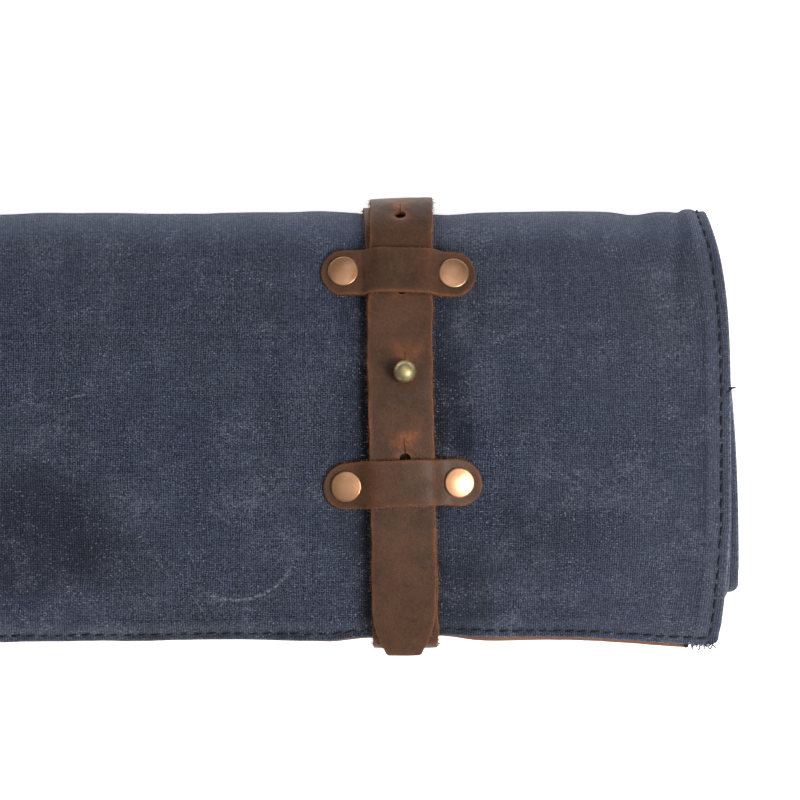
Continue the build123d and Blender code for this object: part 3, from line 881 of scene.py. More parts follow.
def ply(name, material, u_low, u_high, s_low, top, thick, inset, fold=None):
    """An inner ply of the roll, at a depth under the cover's face; fold thickens one end."""
    edges = (0, .15, .4, .8, 1.6, 3.2)
    u = graded(u_high - u_low, edges, 3.4) + u_low
    s = np.concatenate([
        s_low + np.array(edges[:-1]), rows_of(roll_path, s_low + edges[-1], ROLL_LENGTH, 12, 6)])
    u, s = np.meshgrid(u, s)
    x = canvas_x(u, s, inset, inner=True)
    rim = np.minimum(np.minimum(u - u_low, u_high - u), np.minimum(s - s_low, ROLL_LENGTH - s))
    folded = np.zeros_like(u) if fold is None else 1 - smooth_step(np.abs(fold - u), 10, 11)
    full = thick * (1 + folded)
    middle, normal = on_path(roll_path, x, s, top + full / 2 - drape(x, s))
    piece = slab(name + "_cloth", middle, normal, full / 2 * rounded(rim, 0.6), material, (u, s))
    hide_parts(name)
    (ROLL_LENGTH - s_low) * MM


def facing():
    """Leather facing: lines the flap and shows as a thin uneven line past its free edge."""
    top = COVER_THICK + PLY_GAP
    edges = (0, .1, .3, .6, 1.2, 2.4)
    u = graded(2 * facing_half_length, edges, 3.2) - facing_half_length
    t = graded(1.0, tuple(e / FOLD_AT for e in edges), 2.0 / FOLD_AT)
    u, t = np.meshgrid(u, t)
    lip = 1.35 + 0.25 * ripples(u, 0 * u, 46, 51) + 0.08 * ripples(u, 0 * u, 5, 52)
    lip = lip + 0.75 * smooth_step(u, 84, 104) - 0.45 * (1 - smooth_step(u, 40, 72))
    lip = lip + glide(u, EDGE_GROWTH)
    s = -lip + t * (FOLD_AT - 1 + lip)
    middle, normal = on_path(
        roll_path, u, s, top + 0.35 + FACING_THICK / 2 - drape(u, np.clip(s, 0, None)))
    rim = np.minimum(facing_half_length - np.abs(u), np.minimum(s + lip, FOLD_AT - 1 - s))
    half = (FACING_THICK / 2 - 0.15) * rounded(rim, 0.5)
    piece = slab("leather_facing_hide", middle, normal, half, FACING)
    cut = 1 - smooth_step(rim, 0.2, 1.2)
    wear = np.stack([cut, 0.4 * cut, 0 * cut], -1).reshape(-1, 3)
    paint_wear(piece, middle.reshape(-1, 3), wear)
    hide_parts("leather_facing")


def paint_wear(piece, places, wear):
    """Give each vertex the wear of the nearest listed place (places in millimetres)."""
    tree = KDTree(len(places))
    for index, place in enumerate(places):
        tree.insert(Vector(place) * MM, index)
    tree.balance()
    store(piece.data, "wear", wear[[tree.find(vertex.co)[1] for vertex in piece.data.vertices]])


# -------- threads
END_TAPER = 0.45
STITCH_RADIUS = 0.38
STITCH_SINK = 0.34         # of a stitch's ends below the cloth's face
STITCH_ARCH = 0.50


def tubes(name, lines, radius, material, sides=6, body=ROOT):
    """Round threads along lists of points, in one mesh."""
    points, faces = [], []
    for line in lines:
        line = np.asarray(line, float)
        along = np.gradient(line, axis=0)
        along /= np.linalg.norm(along, axis=1)[:, None] + 1e-9
        up = np.cross(along, [0.31, 0.52, 0.79])
        up /= np.linalg.norm(up, axis=1)[:, None] + 1e-9
        side = np.cross(along, up)
        size = np.full(len(line), radius)
        size[0] = size[-1] = radius * END_TAPER
        angles = np.linspace(0, 2 * math.pi, sides, endpoint=False)
        ring = up[:, None] * np.cos(angles)[:, None] + side[:, None] * np.sin(angles)[:, None]
        first = len(points)
        points.extend((line[:, None] + ring * size[:, None, None]).reshape(-1, 3))
        faces.extend(grid_faces(len(line), sides, first, wrap=True))
        faces.append(tuple(range(first, first + sides))[::-1])
        last = first + (len(line) - 1) * sides
        faces.append(tuple(range(last, last + sides)))
    return new_piece(name, points, faces, material, body=body)


def stitch_lines(u_of, s_of, count, seed):
    """Short proud stitches between needle holes that follow u_of(t) and s_of(t)."""
    rng = np.random.default_rng(seed)
    lines = []
    for index in range(count):
        start = index * STITCH_PITCH + rng.normal(0, 0.2)
        t = start + np.linspace(0.45, STITCH_PITCH - 0.6, 7)
        arch = STITCH_ARCH * np.sin(np.linspace(0, math.pi, 7)) ** 0.6
        slant = rng.normal(0, 0.1) + 0.2 * np.linspace(-1, 1, 7)
        u, s = u_of(t, slant), s_of(t, slant)
        lines.append(cover_point(u, s, cover_relief(u, s)[0] - STITCH_SINK + arch)[0])
    return lines


def seams():
    """The topstitching round the cover's turned-in edges, and a few loose ends."""
    lines = []
    for _, sign in SIDES:
        count = int((BOTTOM_AT + 60) / STITCH_PITCH)
        lines += stitch_lines(
            lambda t, slant, sign=sign: sign * (HALF_WIDTH - STITCH_INSET + slant),
            lambda t, slant: EDGE_STITCH + t, count, 61 + sign)
    count = int(2 * (HALF_WIDTH - STITCH_INSET) / STITCH_PITCH)
    lines += stitch_lines(
        lambda t, slant: -HALF_WIDTH + STITCH_INSET + t, lambda t, slant: EDGE_STITCH + slant, count, 71)
    tubes("topstitching", lines, STITCH_RADIUS, THREAD)

    rng = np.random.default_rng(81)
    tail = [(HALF_WIDTH - 1.0, 79.0, 2.6, 8), (HALF_WIDTH - 1.4, 77.5, 1.8, 50)]
    corner = [
        (HALF_WIDTH - rng.uniform(0.8, 10), rng.uniform(0.1, 0.6), rng.uniform(0.7, 1.7),
         rng.uniform(-170, -10))
        for _ in range(22)]
    for name, radius, ends in (("thread_tail", 0.32, tail), ("loose_threads", 0.17, corner)):
        lines = []
        for u, s, length, turn in ends:
            start = cover_point(np.array([u]), np.array([s]), np.array([0.1]))[0]
            step = np.array([*turn_of(turn), 0.15])
            t = np.linspace(0, 1, 9)[:, None]
            lines.append(start + step * length * t + rng.normal(0, 0.5, 3) * np.sin(t * 2.6) ** 2 * 0.8)
        tubes(name, lines, radius, THREAD)


# -------- straps
TIP_FLAT = 10.5            # width of the blunt tip
TIP_TAPER = 18.5           # length over which it swells to the full width
TIP_START = -1.6
TIP_TO_STUD = 88.9
HOLE_PITCH = 26.6
HOLE_RADIUS = 1.8
SLIT_WIDTH = 0.2
SLIT_LENGTH = 6.6
SLIT_CENTRE = 2.4          # of a hole with its slit, from the hole's own centre
UNDER_END_TURN = 8.0       # degrees of its path that the under lap stops short of
TABLE_GAP = 0.02           # the straps are pressed flat where the roll lies on the table

over_oval = flap_oval.inset(-OVER_FACE)
over_lap = over_oval.after(over_oval.distance_to(-(TOP_Y + OVER_FACE)))
under_lap = flap.inset(-UNDER_FACE)
corner_y, corner_z = BODY_BOTTOM_Y + tuck_z - BACK_Z, tuck_z
bend_right = math.radians(under_lap.heading - 90)
bend_y = under_lap.y + EDGE_BEND_RADIUS * math.cos(bend_right)
bend_z = under_lap.z + EDGE_BEND_RADIUS * math.sin(bend_right)
reach = math.hypot(bend_y - corner_y, bend_z - corner_z)
shrink = EDGE_BEND_RADIUS - tuck_z
rise_length = math.sqrt(reach ** 2 - shrink ** 2)
rise_heading = math.degrees(math.atan2(bend_z - corner_z, bend_y - corner_y) + math.asin(shrink / reach))
strap_path = Path(
    over_lap.y, over_lap.z, over_lap.heading,
    over_lap.legs
    + [
        (HORIZON_Z, 90), (TOP_Y + OVER_FACE - HORIZON_Z - corner_y, 0), (tuck_z, 180 - rise_heading),
        (rise_length, 0), (EDGE_BEND_RADIUS, rise_heading - under_lap.heading)]
    + under_lap.legs[:-1] + [(under_lap.legs[-1][0], FLAP_CORNER - UNDER_END_TURN)])
STRAP_LENGTH = strap_path.length
UNDER_AT = STRAP_LENGTH - under_lap.length + under_lap.legs[-1][0] * math.radians(UNDER_END_TURN)
SPLIT_AT = over_lap.distance_to(KEEPERS["lower"][0])       # tail and belt meet under the lower keeper
HOLES = [
    (TIP_TO_STUD + HOLE_PITCH * place, offset) for place, offset in ((-1, 1.0), (0, 1.5), (1, 0.6), (2, 0.0))]
STUD_AT = HOLES[1][0]

# How far each strap's middle wanders from its place, by distance from the tip.
WANDER = (
    (0, 0.6), (35, 0.6), (60, 0.1), (72, -0.25), (95, -0.75), (118, -0.5), (140, -0.6), (175, -0.6),
    (260, 0.4), (330, 1.3), (410, -0.8), (450, -1.2), (480, -3.0), (510, -3.2))
# How much is cut off its inner edge, by the same distance.
NARROWED = ((0, 0), (114, 0), (128, 0.75), (165, 0.75), (215, 0), (520, 0))
STRAP_SEED = {"right": 100, "left": 140}
SPLIT_GAP = 0.05           # between belt and tail
HAIR_RADIUS = 0.055
END_STEP = 0.08            # between the rows of mesh at a strap's cut ends
TAIL_BEND = (1.5, -7.0)    # two distances along the strap from the tail's hinge; straps() works out their points but does not use them


def tip_half_width(s):
    """Half the strap's width: a blunt tip that swells to the full width."""
    along = np.clip((s - TIP_START) / TIP_TAPER, 0, 1)
    width = TIP_FLAT / 2 + (STRAP_WIDTH - TIP_FLAT) / 2 * np.sin(math.pi / 2 * along) ** 0.92
    return width - 0.7 * (1 - rounded(s - TIP_START, 0.9))


def cut_through(piece, cutter_points, cutter_faces):
    """Take a closed cutter's shape out of a piece's mesh."""
    mesh = bpy.data.meshes.new("cutter")
    mesh.from_pydata((np.asarray(cutter_points) * MM).tolist(), [], cutter_faces)
    cutter = add_object("cutter", mesh)
    modifier = piece.modifiers.new("holes", "BOOLEAN")
    modifier.operation = "DIFFERENCE"
    modifier.solver = "EXACT"
    modifier.object = cutter
    bpy.context.view_layer.update()
    result = bpy.data.meshes.new_from_object(piece.evaluated_get(bpy.context.evaluated_depsgraph_get()))
    piece.modifiers.clear()
    old, piece.data = piece.data, result
    result.name = piece.name
    bpy.data.meshes.remove(old)
    bpy.data.objects.remove(cutter)
    bpy.data.meshes.remove(mesh)


def prism(outline, low, high):
    """Points and faces of an upright prism over an outline that runs anticlockwise."""
    count = len(outline)
    points = [(x, y, low) for x, y in outline] + [(x, y, high) for x, y in outline]
    faces = [tuple(range(count))[::-1], tuple(range(count, 2 * count))]
    faces += [(i, (i + 1) % count, (i + 1) % count + count, i + count) for i in range(count)]
    return points, faces


def keyhole(s, offset, rng):
    """A punched hole with a short knife slit above it, seen from the outer face."""
    angles = np.radians(np.linspace(94, 446, 25))      # open at the top, where the slit starts
    outline = [(HOLE_RADIUS * math.cos(a), HOLE_RADIUS * math.sin(a)) for a in angles]
    lean = rng.normal(0, 0.25)
    outline += [
        (SLIT_WIDTH / 2, 3.2), (lean + 0.06, SLIT_LENGTH), (lean - 0.06, SLIT_LENGTH), (-SLIT_WIDTH / 2, 3.2)]
    return [(offset + across, s + along) for across, along in outline]


def bend_strap(a, s, t, sign, seed, sink=0.0):
    """Where a point of the flat strap (across, along from the tip, outwards) lies on the roll."""
    wander = glide(s, WANDER) * (1 if sign > 0 else -0.7)
    frayed = 0.10 * ripples(s, 0 * s, 2.1, seed + 3) + 0.16 * ripples(s, 0 * s, 11, seed + 4)
    waves = 0.10 * ripples(a, s, 26, seed + 5) + 0.035 * ripples(a, s, 6, seed + 6)
    y, z, heading = strap_path.at(s)
    outward = np.radians(heading + 90)
    share = np.clip(a / tip_half_width(s), -1.2, 1.2)
    lift = t - STRAP_THICK / 2 + waves - 0.14 * np.abs(share) ** 3 + sink
    lift = lift + (0.65 + 0.3 * sign * share) * bump(s, over_lap.length, 13)
    trimmed = sign * glide(s, NARROWED) * np.clip(-sign * share, 0, 1)
    x = sign * STRAP_X + wander + a + frayed * share + trimmed
    height = np.maximum(z + lift * np.sin(outward), TABLE_GAP)
    return np.stack([x, y + lift * np.cos(outward), height], -1)


def belt(name, side, s_low, s_high, seed, holes):
    """A length of strap cut flat, punched, and bent round the roll."""
    sign = dict(SIDES)[side]
    rng = np.random.default_rng(seed)
    edges = (0, .03, .08, .16, .3, .55, 1.0, 1.6)
    a = graded(STRAP_WIDTH, edges, 0.9) - STRAP_WIDTH / 2
    stops = {s_low, s_high}
    s = s_low
    while s < s_high:
        near_hole = min((abs(s - hole - SLIT_CENTRE) for hole, _ in holes), default=99)
        near_end = min(s - s_low, s_high - s)
        s += END_STEP if near_end < 0.3 else 0.3 if near_end < 1.2 else 0.5 if near_hole < 7 else 1.2
        if s < s_high - END_STEP * 0.75:
            stops.add(s)
    a, s = np.meshgrid(a, np.array(sorted(stops)))
    half_width = tip_half_width(s)
    a = a * half_width / (STRAP_WIDTH / 2)
    rim = np.minimum(half_width - np.abs(a), np.minimum(s - s_low, s_high - s))
    half = STRAP_THICK / 2 * rounded(rim, 0.3)
    flat = np.stack([a, s, 0 * s], -1)
    up = np.stack([0 * s, 0 * s, 1 + 0 * s], -1)
    piece = slab(name + "_hide", flat, up, half, STRAP, body=None)
    for hole, offset in holes:
        cut_through(piece, *prism(keyhole(hole, sign * offset, rng), -3, 3))

    mesh = piece.data
    points = np.empty(3 * len(mesh.vertices))
    mesh.vertices.foreach_get("co", points)
    a, s, t = points.reshape(-1, 3).T / MM
    half_width = tip_half_width(s)
    share = np.clip(a / half_width, -1, 1)
    rim = np.minimum(half_width * (1 - np.abs(share)), np.minimum(s - TIP_START, STRAP_LENGTH - s))
    cut = (1 - smooth_step(rim, 0.08, 0.38)) * (0.85 + 0.5 * ripples(a, s, 3, seed + 1))
    rubbed = 0.5 * (1 - smooth_step(rim, 0.3, 1.5)) * (0.6 + 0.5 * ripples(a, s, 14, seed + 2))
    top = smooth_step(t, -0.2, 0.4)
    sink, painted_shadow = 0.0, 0.0 * s
    for hole, offset in holes:
        aside = a - sign * offset
        away = np.clip(np.hypot(aside, s - hole) - HOLE_RADIUS, 0, None)
        streak = np.hypot(aside * 0.75, s - hole - 5.2 - 0.12 * aside ** 2)
        rubbed = np.maximum(rubbed, 1.3 * bump(streak, 0, 3.2) * (0.7 + 0.4 * ripples(a, s, 5, seed + 7)))
        rubbed = np.maximum(rubbed, 0.6 * bump(away, 0, 1.6))
        cut = np.maximum(cut, 0.7 * bump(away, 0, 0.25))
        sink = sink - 0.28 * bump(away, 0, 0.9) * top
        painted_shadow = np.maximum(painted_shadow, bump(away, 0, 0.35) * (1 - smooth_step(t, 0.35, 0.8)))
    # painted shadow on the under lap, where it shows through the holes above
    for hole, offset in HOLES:
        below = UNDER_AT + under_lap.distance_to(over_lap.at(hole)[0])
        painted_shadow = np.maximum(painted_shadow, bump(np.hypot(a - sign * offset, s - below), 0, 2.8) * top)
    # painted shadow cast by the stud beside it
    stud_aside, stud_along = a - sign * HOLES[1][1], s - STUD_AT
    shadow = np.hypot(stud_aside + sign * 3.2, stud_along)
    painted_shadow = np.maximum(painted_shadow, 0.5 * bump(shadow, 0, 3.4) * top)
    sink = sink + 0.3 * bump(np.hypot(stud_aside, stud_along), 5.5, 3.5) * (s < STRAP_LENGTH / 2)
    cut = np.where(t > 0.3 * STRAP_THICK, cut, np.maximum(cut, 0.9 * (rim < 0.6)))
    wear = np.stack([np.clip(cut, 0, 1), np.clip(rubbed, 0, 1), 1 - smooth_step(t, -0.75, -0.3)], -1)
    store(mesh, "wear", wear)
    store(mesh, "painted_shadow", np.repeat(painted_shadow, 3))

    bent = bend_strap(a, s, t, sign, STRAP_SEED[side], sink)
    mesh.vertices.foreach_set("co", (bent * MM).reshape(-1))
    face_outwards(mesh)
    mesh.shade_smooth()
    mesh.set_sharp_from_angle(angle=math.radians(50))
    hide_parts(name)
    return piece


def hairs(name, roots, outwards, seed, length=0.6):
    """Loose leather fibres that stand out of a cut edge."""
    rng = np.random.default_rng(seed)
    lines = []
    t = np.linspace(0, 1, 4)[:, None]
    for root, outward in zip(roots, outwards):
        reach = length * rng.uniform(0.35, 1.5)
        lean = rng.normal(0, 0.75, 3)
        curl = rng.normal(0, 0.35, 3)
        lines.append(root - 0.12 * outward + reach * (t * (outward + lean * 0.6) + curl * t ** 2))
    piece = tubes(name, lines, HAIR_RADIUS, STRAP, sides=3, body=None)
    store(piece.data, "wear", np.tile([1.0, 0.0, 1.0], len(piece.data.vertices)))
    return piece


def strap_fuzz(name, side, s_low, s_high, seed):
    """Fibres along both cut edges of a length of strap."""
    sign = dict(SIDES)[side]
    rng = np.random.default_rng(seed)
    count = int((s_high - s_low) * 7)
    s = rng.uniform(s_low, s_high, count)
    s = s[ripples(s, 0 * s, 9, seed + 1) + rng.uniform(-0.9, 0.9, count) > -0.55]
    edge = np.where(rng.random(len(s)) < 0.5, -1.0, 1.0)
    t = rng.uniform(-0.75, 0.6, len(s))
    roots = bend_strap(edge * tip_half_width(s), s, t, sign, STRAP_SEED[side])
    outwards = np.stack([edge, 0 * s, 0 * s], -1)
    return hairs(name, roots, outwards, seed + 2)


def straps():
    """Both straps: the belt and its fibres ride the roll; the tail and its fibres are built along the same
    path, apart from the belt.
    """
    for index, (side, _) in enumerate(SIDES):
        body = belt(
            side + "_strap", side, SPLIT_AT, STRAP_LENGTH, 100 + 20 * index,
            [hole for hole in HOLES if hole[0] > SPLIT_AT])
        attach(body, ROOT)
        tail = belt(side + "_strap_tail", side, TIP_START, SPLIT_AT - SPLIT_GAP, 110 + 20 * index, [])
        body_fuzz = strap_fuzz(side + "_strap_fuzz", side, SPLIT_AT, STRAP_LENGTH, 300 + 20 * index)
        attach(body_fuzz, ROOT)
        tail_fuzz = strap_fuzz(side + "_strap_tail_fuzz", side, TIP_START + 0.3, SPLIT_AT, 310 + 20 * index)
        hinge = TAIL_HINGE[side + "_strap_tail"]
        at = over_lap.distance_to(hinge.y)
        start, end = [
            (hinge.x * MM, *(float(value) * MM for value in strap_path.at(at + step)[:2]))
            for step in TAIL_BEND]
        for piece in (tail, tail_fuzz):
            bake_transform(piece)


# -------- keepers, rivets and studs
KEEPER_LENGTH = 49.0
KEEPER_WIDTH = 14.4
KEEPER_THICK = 1.8
RIVET_SEAT_GAP = 0.2
CAP_SEAT = RIVET_SEAT_GAP + KEEPER_THICK + 0.05
CAP_TUBE = 5.6
STUD_BALL_RADIUS = 3.55
STUD_BALL_LIFT = 5.4


def seat(path, along, x, height, lean=0.0):
    """A point over a path with its across, up-the-front and outward directions."""
    y, z, heading = [float(value) for value in path.at(along)]
    outward = np.array([0, *turn_of(heading + 90)])
    cos, sin = turn_of(lean)
    across = np.array([cos, 0, 0]) + np.array([0, *turn_of(heading)]) * sin
    return np.array([x, y, z]) + outward * height, across, np.cross(outward, across), outward


# A keeper's rise over the strap, by distance from its middle; it tips the rivets outwards.
KEEPER_FOOT = ((15, 0.85), (17.5, 0.6), (20, 0.25), (22.5, 0.0), (25.5, -0.05))
KEEPER_RISE = {
    "upper": ((0, 4.3), (6, 4.2), (8.6, 3.9), (9.9, 3.0), (10.9, 1.7), (12.0, 1.1)) + KEEPER_FOOT,
    "lower": ((0, 4.3), (6, 4.15), (8.4, 3.85), (10.0, 3.1), (11.5, 2.1), (13.2, 1.3)) + KEEPER_FOOT}
KEEPER_BOW = {"upper": 0.0, "lower": 0.6}        # how far its middle bows up the front
KEEPER_SHIFT = {"upper": -1.1, "lower": 0.3}     # how far off the strap's middle it is riveted
KEEPER_PULL = {"upper": 0.973, "lower": 0.998}   # its ends drawn in by its arch
KEEPER_HAIRS = 620
SLOPE_STEP = 0.05
CAP_LIFT = 0.12
CAP_TILT = {                                     # degrees away from the strap
    ("upper", "outer"): 5.0, ("upper", "inner"): 6.0, ("lower", "outer"): 11.5, ("lower", "inner"): 6.0}


def keeper(name, side, level, seed):
    """A stadium of leather that arches over both laps of the strap."""
    sign = dict(SIDES)[side]
    y_place, lean = KEEPERS[level]
    origin, across, upward, outward = seat(
        flap, flap.distance_to(y_place), sign * STRAP_X, 0, sign * lean)
    half_length, radius = KEEPER_LENGTH / 2, KEEPER_WIDTH / 2
    low = RIVET_SEAT_GAP + KEEPER_THICK / 2

    def place(a, b, t):
        """A point of the flat keeper, across, up the front and outwards, once it is bent."""
        a = a * KEEPER_PULL[level] + sign * KEEPER_SHIFT[level]
        height = low + glide(np.abs(a), KEEPER_RISE[level]) + 0.07 * ripples(a, b, 16, seed + 2)
        height = height + 0.22 * (1 - (b / radius) ** 2) * bump(a, 0, 10)
        after, before = [glide(np.abs(a + step), KEEPER_RISE[level]) for step in (SLOPE_STEP, -SLOPE_STEP)]
        slope = (after - before) / (2 * SLOPE_STEP)
        length = np.hypot(slope, 1)
        b = b * (1 + 0.012 * ripples(a, 0 * a, 9, seed))
        b = b + KEEPER_BOW[level] * (1 - (2 * a / RIVET_SPACING) ** 2)
        normal = across * (-slope / length)[..., None] + outward * (1 / length)[..., None]
        middle = origin + across * a[..., None] + upward * b[..., None] + outward * height[..., None]
        return middle + normal * t[..., None], normal

    edges = (0, .03, .08, .16, .3, .55, 1.0, 1.6, 2.6, 4.0)
    a = graded(KEEPER_LENGTH, edges, 0.7) - half_length
    b = graded(2.0, (0, .004, .011, .022, .042, .08, .16, .28), 0.12) - 1.0
    a, b = np.meshgrid(a, b)
    past = np.clip(np.abs(a) - half_length + radius, 0, radius)
    b = b * np.sqrt(radius ** 2 - past ** 2)
    rim = np.clip(radius - np.hypot(past, b), 0, None)
    half = KEEPER_THICK / 2 * rounded(rim, 0.3)
    middle, normal = place(a, b, 0 * a)
    piece = slab(name + "_hide", middle, normal, half, STRAP)
    cut = (1 - smooth_step(rim, 0.06, 0.3)) * (0.9 + 0.4 * ripples(a, b, 3, seed + 3))
    rubbed = 0.45 * (1 - smooth_step(rim, 0.3, 1.4)) * (0.7 + 0.4 * ripples(a, b, 8, seed + 4))
    rubbed = np.maximum(rubbed, 0.22 * bump(np.abs(a), 9.5, 2.0) * (0.8 + 0.4 * ripples(a, b, 4, seed + 5)))
    places = np.concatenate([(middle + f * normal * half[..., None]).reshape(-1, 3) for f in (1, -1)])
    cut, rubbed = np.clip(cut, 0, 1), np.clip(rubbed, 0, 1)
    wear = [np.stack(face, -1).reshape(-1, 3) for face in ((cut, rubbed, 0 * a), (cut, 0 * a, 1 + 0 * a))]
    paint_wear(piece, places, np.concatenate(wear))
    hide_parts(name)

    rng = np.random.default_rng(seed + 9)
    turn = rng.uniform(0, 2 * math.pi, KEEPER_HAIRS)
    straight = (half_length - radius) * rng.uniform(0, 1, KEEPER_HAIRS)
    rim_a = radius * np.cos(turn) + np.sign(np.cos(turn)) * straight
    inside = np.abs(rim_a) < half_length - radius
    rim_b = np.where(inside, np.sign(np.sin(turn)) * radius, 0.0)
    end_a = np.clip(np.abs(rim_a) - half_length + radius, 0, radius)
    rim_b = np.where(inside, rim_b, np.sign(np.sin(turn)) * np.sqrt(radius ** 2 - end_a ** 2))
    roots = place(rim_a, rim_b, rng.uniform(-0.8, 0.2, KEEPER_HAIRS))[0]
    aside, above = np.where(inside, 0, np.sign(rim_a) * end_a / radius), rim_b / radius
    outwards = across * aside[:, None] + upward * above[:, None]
    fuzz = hairs(name + "_fuzz", roots, outwards, seed + 10, 0.42)
    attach(fuzz, ROOT)


def lathe(name, profile, place, material, segments):
    """Turn a closed profile of (radius, height) about a place's outward direction."""
    origin, across, upward, outward = place
    angles = np.linspace(0, 2 * math.pi, segments, endpoint=False)
    ring = across * np.cos(angles)[:, None] + upward * np.sin(angles)[:, None]
    points = [origin + outward * height + radius * ring for radius, height in profile]
    faces = grid_faces(len(profile), segments, wrap=True)
    piece = new_piece(name + "_metal", np.concatenate(points), faces, material, weld=0.001)
    piece.data.set_sharp_from_angle(angle=math.radians(40))
    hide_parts(name)


def rivet_cap_profile():
    """A pressed copper cap: rounded rim and low dome, on its hollow tube."""
    rim = [(4.50, -0.10), (4.66, -0.04), (4.74, 0.10), (4.74, 0.24), (4.68, 0.38), (4.54, 0.50), (4.34, 0.58)]
    dome = [(4.1, 0.62), (3.8, 0.66)]
    dome += [(r, 0.66 + 0.30 * (1 - (r / 3.8) ** 2.3)) for r in (3.5, 3.1, 2.6, 2.0, 1.4, 0.7, 0.0)]
    tube = [(0.0, -0.30), (1.30, -0.30), (1.30, -CAP_TUBE), (1.80, -CAP_TUBE), (1.80, -0.12), (4.50, -0.12)]
    return tube + rim + dome


def rivet_base_profile():
    """The cap behind the facing, with the post that the tube is pressed onto."""
    top = -CAP_TUBE - 0.15
    disc = [(0.0, top - 0.8), (4.3, top - 0.8), (4.66, top - 0.62), (4.7, top - 0.3), (4.5, top)]
    return disc + [(1.25, top), (1.25, -0.75), (1.1, -0.6), (0.0, -0.6)]


def stud_profile():
    """Flange, waisted neck and ball."""
    neck = [(0.0, -0.4), (2.9, -0.4), (2.9, 0.02), (1.9, 0.1), (1.65, 0.4), (1.55, 1.2), (1.6, 2.2)]
    ball = []
    for angle in np.linspace(-math.pi / 2 + math.asin(1.75 / STUD_BALL_RADIUS), math.pi / 2, 26):
        rise = math.sin(angle)
        rise = rise * (0.90 if rise > 0 else 1.0)
        ball.append((STUD_BALL_RADIUS * math.cos(angle) ** 0.97, STUD_BALL_LIFT + STUD_BALL_RADIUS * rise))
    return neck + ball


def fittings():
    """Keepers with their rivets, and the studs with their screws."""
    for index, (side, sign) in enumerate(SIDES):
        for level_index, (level, (y_place, lean)) in enumerate(KEEPERS.items()):
            keeper("_".join((side, level, "keeper")), side, level, 200 + 40 * index + 20 * level_index)
            origin, across, upward, outward = seat(
                flap, flap.distance_to(y_place), sign * STRAP_X, CAP_SEAT, sign * lean)
            for where, offset in (("outer", sign), ("inner", -sign)):
                stem = "_".join((side, level, where, "rivet"))
                run = offset * RIVET_SPACING / 2 * KEEPER_PULL[level] + sign * KEEPER_SHIFT[level]
                rise = float(glide(abs(run), KEEPER_RISE[level])) + CAP_LIFT
                cos, sin = turn_of(CAP_TILT[level, where])
                facing_out = outward * cos + across * offset * sin
                place = (
                    origin + across * run + outward * rise, np.cross(upward, facing_out), upward, facing_out)
                lathe(stem + "_cap", rivet_cap_profile(), place, COPPER, 64)
                lathe(stem + "_base", rivet_base_profile(), place, COPPER, 40)
        # The stud stands on the under lap, below its hole in the over lap.
        place = seat(over_lap, STUD_AT, sign * STUD_X, UNDER_FACE - OVER_FACE)
        lathe(side + "_stud", stud_profile(), place, BRASS, 56)
        for slot in bpy.data.objects[side + "_stud_screw"].material_slots:
            slot.material = BRASS


# -------- room, lights and camera
# The world's strength, by how high the direction points.
OVERHEAD = {"From Min": 0.66, "From Max": 0.97, "To Min": 0.12, "To Max": 0.66}
# These are in metres.
FLOOR_SIZE = 6.0
AIM = (0.07, 0, 0.03)      # what the lights point at
CAMERA_HEIGHT = 4.0
VIEW_WIDTH = 0.2462
VIEW_CENTRE = (0.0774, 0.0080)
STUD_RISE = 0.007          # the stud's top above the roll's face


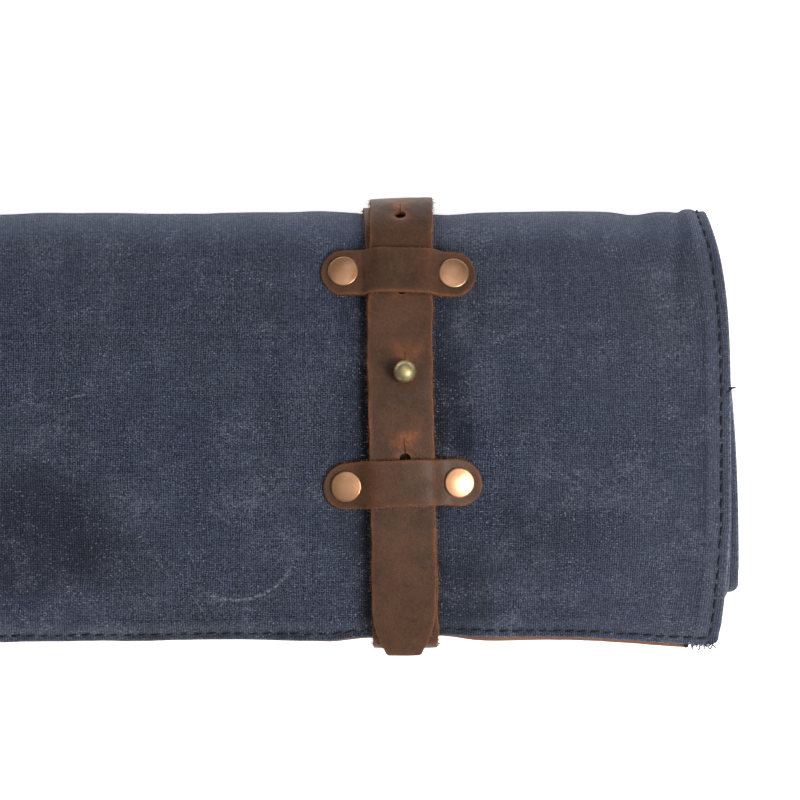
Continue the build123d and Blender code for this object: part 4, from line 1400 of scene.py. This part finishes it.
def plain_room():
    """A wide white sweep under the roll."""
    mesh = bpy.data.meshes.new("floor")
    corners = ((-1, -1), (1, -1), (1, 1), (-1, 1))
    mesh.from_pydata([(x * FLOOR_SIZE, y * FLOOR_SIZE, 0) for x, y in corners], [], [(0, 1, 2, 3)])
    mesh.materials.append(Nodes("floor").finish(
        (250, 250, 250), 0.9, Emission_Color=(1, 1, 1, 1), Emission_Strength=0.78, Specular_IOR_Level=0.1))
    add_object("floor", mesh)

    world = bpy.data.worlds.new("soft_white")
    world.use_nodes = True
    tree = world.node_tree
    background = tree.nodes["Background"]
    background.inputs["Color"].default_value = (1.0, 1.0, 1.0, 1.0)
    direction = tree.nodes.new("ShaderNodeSeparateXYZ")
    tree.links.new(tree.nodes.new("ShaderNodeTexCoord").outputs["Generated"], direction.inputs[0])
    overhead = tree.nodes.new("ShaderNodeMapRange")
    overhead.interpolation_type = "SMOOTHSTEP"
    tree.links.new(direction.outputs[2], overhead.inputs["Value"])
    for key, number in OVERHEAD.items():
        overhead.inputs[key].default_value = number
    tree.links.new(overhead.outputs["Result"], background.inputs["Strength"])
    bpy.context.scene.world = world


def soft_light(name, place, power, size, tint):
    """A square area light that points at the roll."""
    lamp = bpy.data.lights.new(name, "AREA")
    lamp.energy = power
    lamp.size = size
    lamp.color = tint
    light = add_object(name, lamp)
    light.location = place
    light.rotation_euler = (Vector(AIM) - Vector(place)).to_track_quat("-Z", "Y").to_euler()


def camera():
    """Straight down on the right-hand strap, as far off as a catalogue picture."""
    face_z = cad_high.z - STUD_RISE
    lens = bpy.data.cameras.new("camera")
    lens.lens = lens.sensor_width * CAMERA_HEIGHT / VIEW_WIDTH
    lens.clip_start = 0.05
    lens.clip_end = 50.0
    eye = add_object("camera", lens)
    eye.location = (*VIEW_CENTRE, face_z + CAMERA_HEIGHT)
    bpy.context.scene.camera = eye


cover()
facing()
lining_top = COVER_THICK + PLY_GAP
panel_top = lining_top + LINING_THICK + PLY_GAP
panel_from = FOLD_AT + inner_legs[0][0] * math.pi / 2
ply("lining", LINING, -HALF_WIDTH, HALF_WIDTH, FOLD_AT, lining_top, LINING_THICK, 4.5)
for name, low_x, high_x, fold in (
        ("pocket_panel", pocket_mouth_x, HALF_WIDTH, HALF_WIDTH),
        ("tool_flap", -HALF_WIDTH, tool_flap_mouth_x, -HALF_WIDTH)):
    ply(name, CANVAS, low_x, high_x, panel_from, panel_top, PANEL_THICK, 0.0, fold)
seams()
straps()
fittings()
plain_room()
soft_light("key", (1.05, -0.36, 1.44), 18.5, 0.55, (1.0, 0.99, 0.97))
soft_light("top", (0.08, 1.2, 1.65), 2.6, 1.2, (0.92, 0.96, 1.0))
soft_light("fill", (0.3, -1.3, 0.7), 1.0, 0.9, (0.97, 0.985, 1.0))
camera()
bpy.context.scene.view_settings.view_transform = "Standard"
